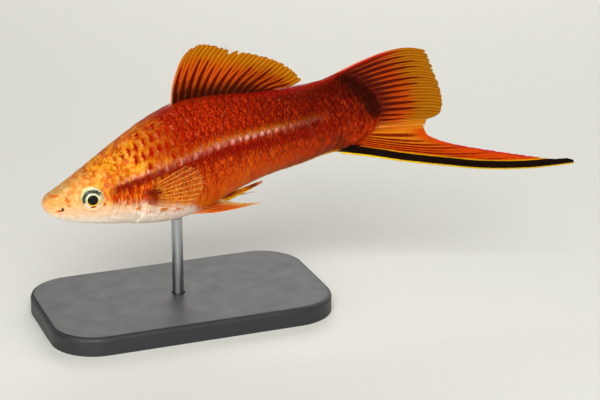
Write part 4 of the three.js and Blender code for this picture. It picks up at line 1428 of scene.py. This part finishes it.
# %% The eyes' finishes
eye_finish, tree, shader = new_material(
    "Iris", 0.25, Coat_Weight=0.3, Coat_Roughness=0.03, Specular_IOR_Level=0.2,
)
place_on_iris = seen(tree, "iris", "Vector")
flat_x, flat_z, _ = wires(tree, node(tree, "ShaderNodeSeparateXYZ", [place_on_iris]).outputs).values()
radius = vectors("LENGTH", place_on_iris, output="Value")
grain = noise(place_on_iris, 2.2, 4, 0.65)
wobble = shifted(radius, grain, 0.24)
upwards = (flat_x * -0.36 + flat_z) / radius
arc = between(upwards, -0.06, 0.24) * between(wobble, 2.34, 2.12) * between(wobble, 1.44, 1.6)
creases = between(flat_x, 0.9, 1.3) * between((wobble * 16).maths("SINE"), 0.0, 0.7)
iris = painted(
    mixed(between(grain, 0.4, 0.6), "#969a68", "#ebe9d2"),
    # The pale lilac low on the iris is partly its colour, partly a painted highlight. The yellow-green towards
    # the snout is a painted highlight.
    (between(flat_x * 0.5 + flat_z, -0.6, -1.5), "#e6dae6"),
    (between(flat_x, -1.1, -2.0) * 0.6, "#bcc060"),
    (arc * 0.96, mixed(between(grain, 0.42, 0.6), "#141a12", "#3a4630")),
    (creases * 0.6, "#6a6e4c"),
    (between(wobble, 2.3, 2.5) * 0.8, "#c8c080"),
    (between(flat_z * 0.12 + wobble, 1.46, 1.34), mixed(between(flat_z, 0.5, -0.8), "#e6e2a8", "#deb424")),
    (between(radius, 1.16, 1.1), "#050403"),
    (between(distance(place_on_iris, (-0.15, -1.72, 0.0), (1.6, 3.8, 1.0)), 1.3, 0.8), "#943410"),
)
feed(shader["Base Color"], iris)
engrave(shader, grain, 0.15, 0.05)
lens_finish, tree, shader = new_material(
    "Lens", 0.06, Coat_Weight=0.15, Coat_Roughness=0.02, Specular_IOR_Level=0.15,
)
feed(shader["Base Color"], mixed(noise(in_fish(tree), 1.5), "#040303", "#0c0706"))

# %% The eyes
PUPIL, PUPIL_RADIUS, EYE_BACK = np.array([0.12, -0.4]), 1.11, 0.75


def eye_dome(name, side, rings, spokes, radius, centre, height):
    """A closed dome over a disc on the eye's plane, whose rise is a function of the place on that plane."""
    middle, out, back, up = eye_frame(side)
    r = np.linspace(0, radius, rings + 1)[1:, None]
    t = 2 * math.pi * np.arange(spokes)[None, :] / spokes
    a = np.concatenate([[0], (r * np.cos(t)).ravel()]) + centre[0]
    b = np.concatenate([[0], (r * np.sin(t)).ravel()]) + centre[1]
    disc = middle + a[:, None] * back + b[:, None] * up
    points = np.concatenate([disc + height(a, b)[:, None] * out, disc - EYE_BACK * out])
    count, rim = len(disc), 1 + (rings - 1) * spokes
    faces = list(grid_faces(rings, spokes, closed=True, first=1))
    faces += list(grid_faces(rings, spokes, closed=True, first=1 + count, flip=True))
    for k in range(spokes):
        following = (k + 1) % spokes
        faces.append([0, 1 + k, 1 + following])
        faces.append([count, count + 1 + following, count + 1 + k])
        faces.append([rim + k, rim + following, rim + following + count, rim + k + count])
    made = turned_out(mesh_object(name, points, faces))
    mark(made.data, "iris", np.tile(np.stack([a - PUPIL[0], b - PUPIL[1], 0 * a], 1), (2, 1)))
    return made


def ball_rise(a, b):
    away = np.minimum(1, np.hypot(a, b) / EYE_RADIUS)
    rise = EYE_PROUD - EYE_DEPTH * (1 - np.sqrt(1 - away**2))
    from_pupil = np.hypot(a - PUPIL[0], b - PUPIL[1])
    return rise - 0.1 * bump(from_pupil, 0, 1.1) + 0.03 * bump(from_pupil, 1.24, 0.14)


def lens_rise(a, b):
    from_pupil = np.hypot(a - PUPIL[0], b - PUPIL[1])
    return ball_rise(a, b) + 0.2 * np.sqrt(np.maximum(0, 1 - (from_pupil / 1.12) ** 2)) - 0.02


for name, side in SIDES:
    ball = eye_dome(f"eyeball_{name}", side, 40, 72, LID_RADIUS + 0.28, (0, 0), ball_rise)
    settle(ball, eye_finish, (f"eye_{name}",))
    lens = eye_dome(f"lens_{name}", side, 14, 48, PUPIL_RADIUS, PUPIL, lens_rise)
    settle(lens, lens_finish)

# %% [markdown]
# ## The stand
# The stand only carries the fish, so it is quiet: a low lacquered block with soft edges and a slim steel rod.

# %% The stand's finishes
stand_finish, tree, shader = new_material("Black lacquer", 0.5, Coat_Weight=0.05, Coat_Roughness=0.3)
here = wire(tree, "ShaderNodeTexCoord", output="Object")
feed(shader["Base Color"], mixed(noise(here, 90, 4), "#1b1c1e", "#26272a"))
feed(shader["Roughness"], noise(here, 260, 4) * 0.18 + 0.42)
engrave(shader, noise(here, 900, 2), 0.08, 0.08)
rod_finish, tree, shader = new_material("Satin steel", 0.28, Metallic=1.0)
drawn_lines = noise(wire(tree, "ShaderNodeTexCoord", output="Object"), 700, 2, stretch=(1, 1, 0.04))
feed(shader["Base Color"], mixed(drawn_lines, "#9a9c9f", "#c2c4c6"))
feed(shader["Roughness"], drawn_lines * 0.2 + 0.22)
for name, material in (("stand_base", stand_finish), ("stand_rod", rod_finish)):
    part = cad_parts[name]
    part.data.materials.clear()
    part.data.materials.append(material)

# %% [markdown]
# ## The studio
# The floor is plain and pale and runs past the edge of the picture. The light is soft and even: a large
# panel above and in front, a weaker one from each side, a faint low one in front, and one behind that lights
# the fins through.

# %% The floor
FLOOR_HALF = 3
floor_corners = FLOOR_HALF * np.array([(-1, -1, 0), (1, -1, 0), (1, 1, 0), (-1, 1, 0)])
floor = mesh_object("floor", floor_corners, [[0, 1, 2, 3]])
floor_finish, tree, shader = new_material("Studio floor", 0.7, Base_Color="#dcdcd6", Specular_IOR_Level=0.15)
floor.data.materials.append(floor_finish)


# %% The lights
def panel(name, location, aim, size, power, colour=(1, 1, 1), spread=180):
    data = bpy.data.lights.new(name, "AREA")
    data.shape, data.size, data.size_y = "RECTANGLE", size[0], size[1]
    data.spread = math.radians(spread)
    data.energy, data.color = power, colour
    lamp = new_object(name, data)
    lamp.location = location
    lamp.rotation_euler = (Vector(aim) - Vector(location)).to_track_quat("-Z", "Y").to_euler()


middle = (0, 0, 0.035)
panel("above in front", (-0.16, -0.4, 0.42), middle, (0.45, 0.35), 3.3, (1.0, 0.99, 0.96))
panel("left side", (-0.5, -0.3, 0.16), middle, (0.3, 0.25), 0.5)
panel("low in front", (-0.2, -0.42, 0.05), (-0.02, 0, 0.065), (0.3, 0.05), 0.055, spread=40)
panel("behind", (0.2, 0.45, 0.32), middle, (0.45, 0.3), 1.6, (1.0, 0.97, 0.92))
panel("right side", (0.5, -0.1, 0.25), middle, (0.3, 0.25), 0.45)
world = bpy.data.worlds.new("studio")
world.use_nodes = True
sky = world.node_tree.nodes["Background"].inputs
sky["Color"].default_value, sky["Strength"].default_value = (0.82, 0.84, 0.86, 1), 0.22
bpy.context.scene.world = world
bpy.context.scene.view_settings.view_transform = "Standard"

# %% The camera
CAMERA_UP, CAMERA_ROUND = math.radians(20), math.radians(21)
CAMERA_AWAY, CAMERA_AIM, CAMERA_LENS = 420.0, np.array([56.23, -2.38, -5.87]), 116.4
level = -math.cos(CAMERA_UP)
to_camera = np.array([level * math.sin(CAMERA_ROUND), level * math.cos(CAMERA_ROUND), math.sin(CAMERA_UP)])
camera_data = bpy.data.cameras.new("camera")
camera_data.lens = CAMERA_LENS
camera = new_object("camera", camera_data)
camera.location = (CAMERA_AIM + FISH_AT + to_camera * CAMERA_AWAY) / 1000
camera.rotation_euler = Vector(-to_camera).to_track_quat("-Z", "Y").to_euler()
bpy.context.scene.camera = camera
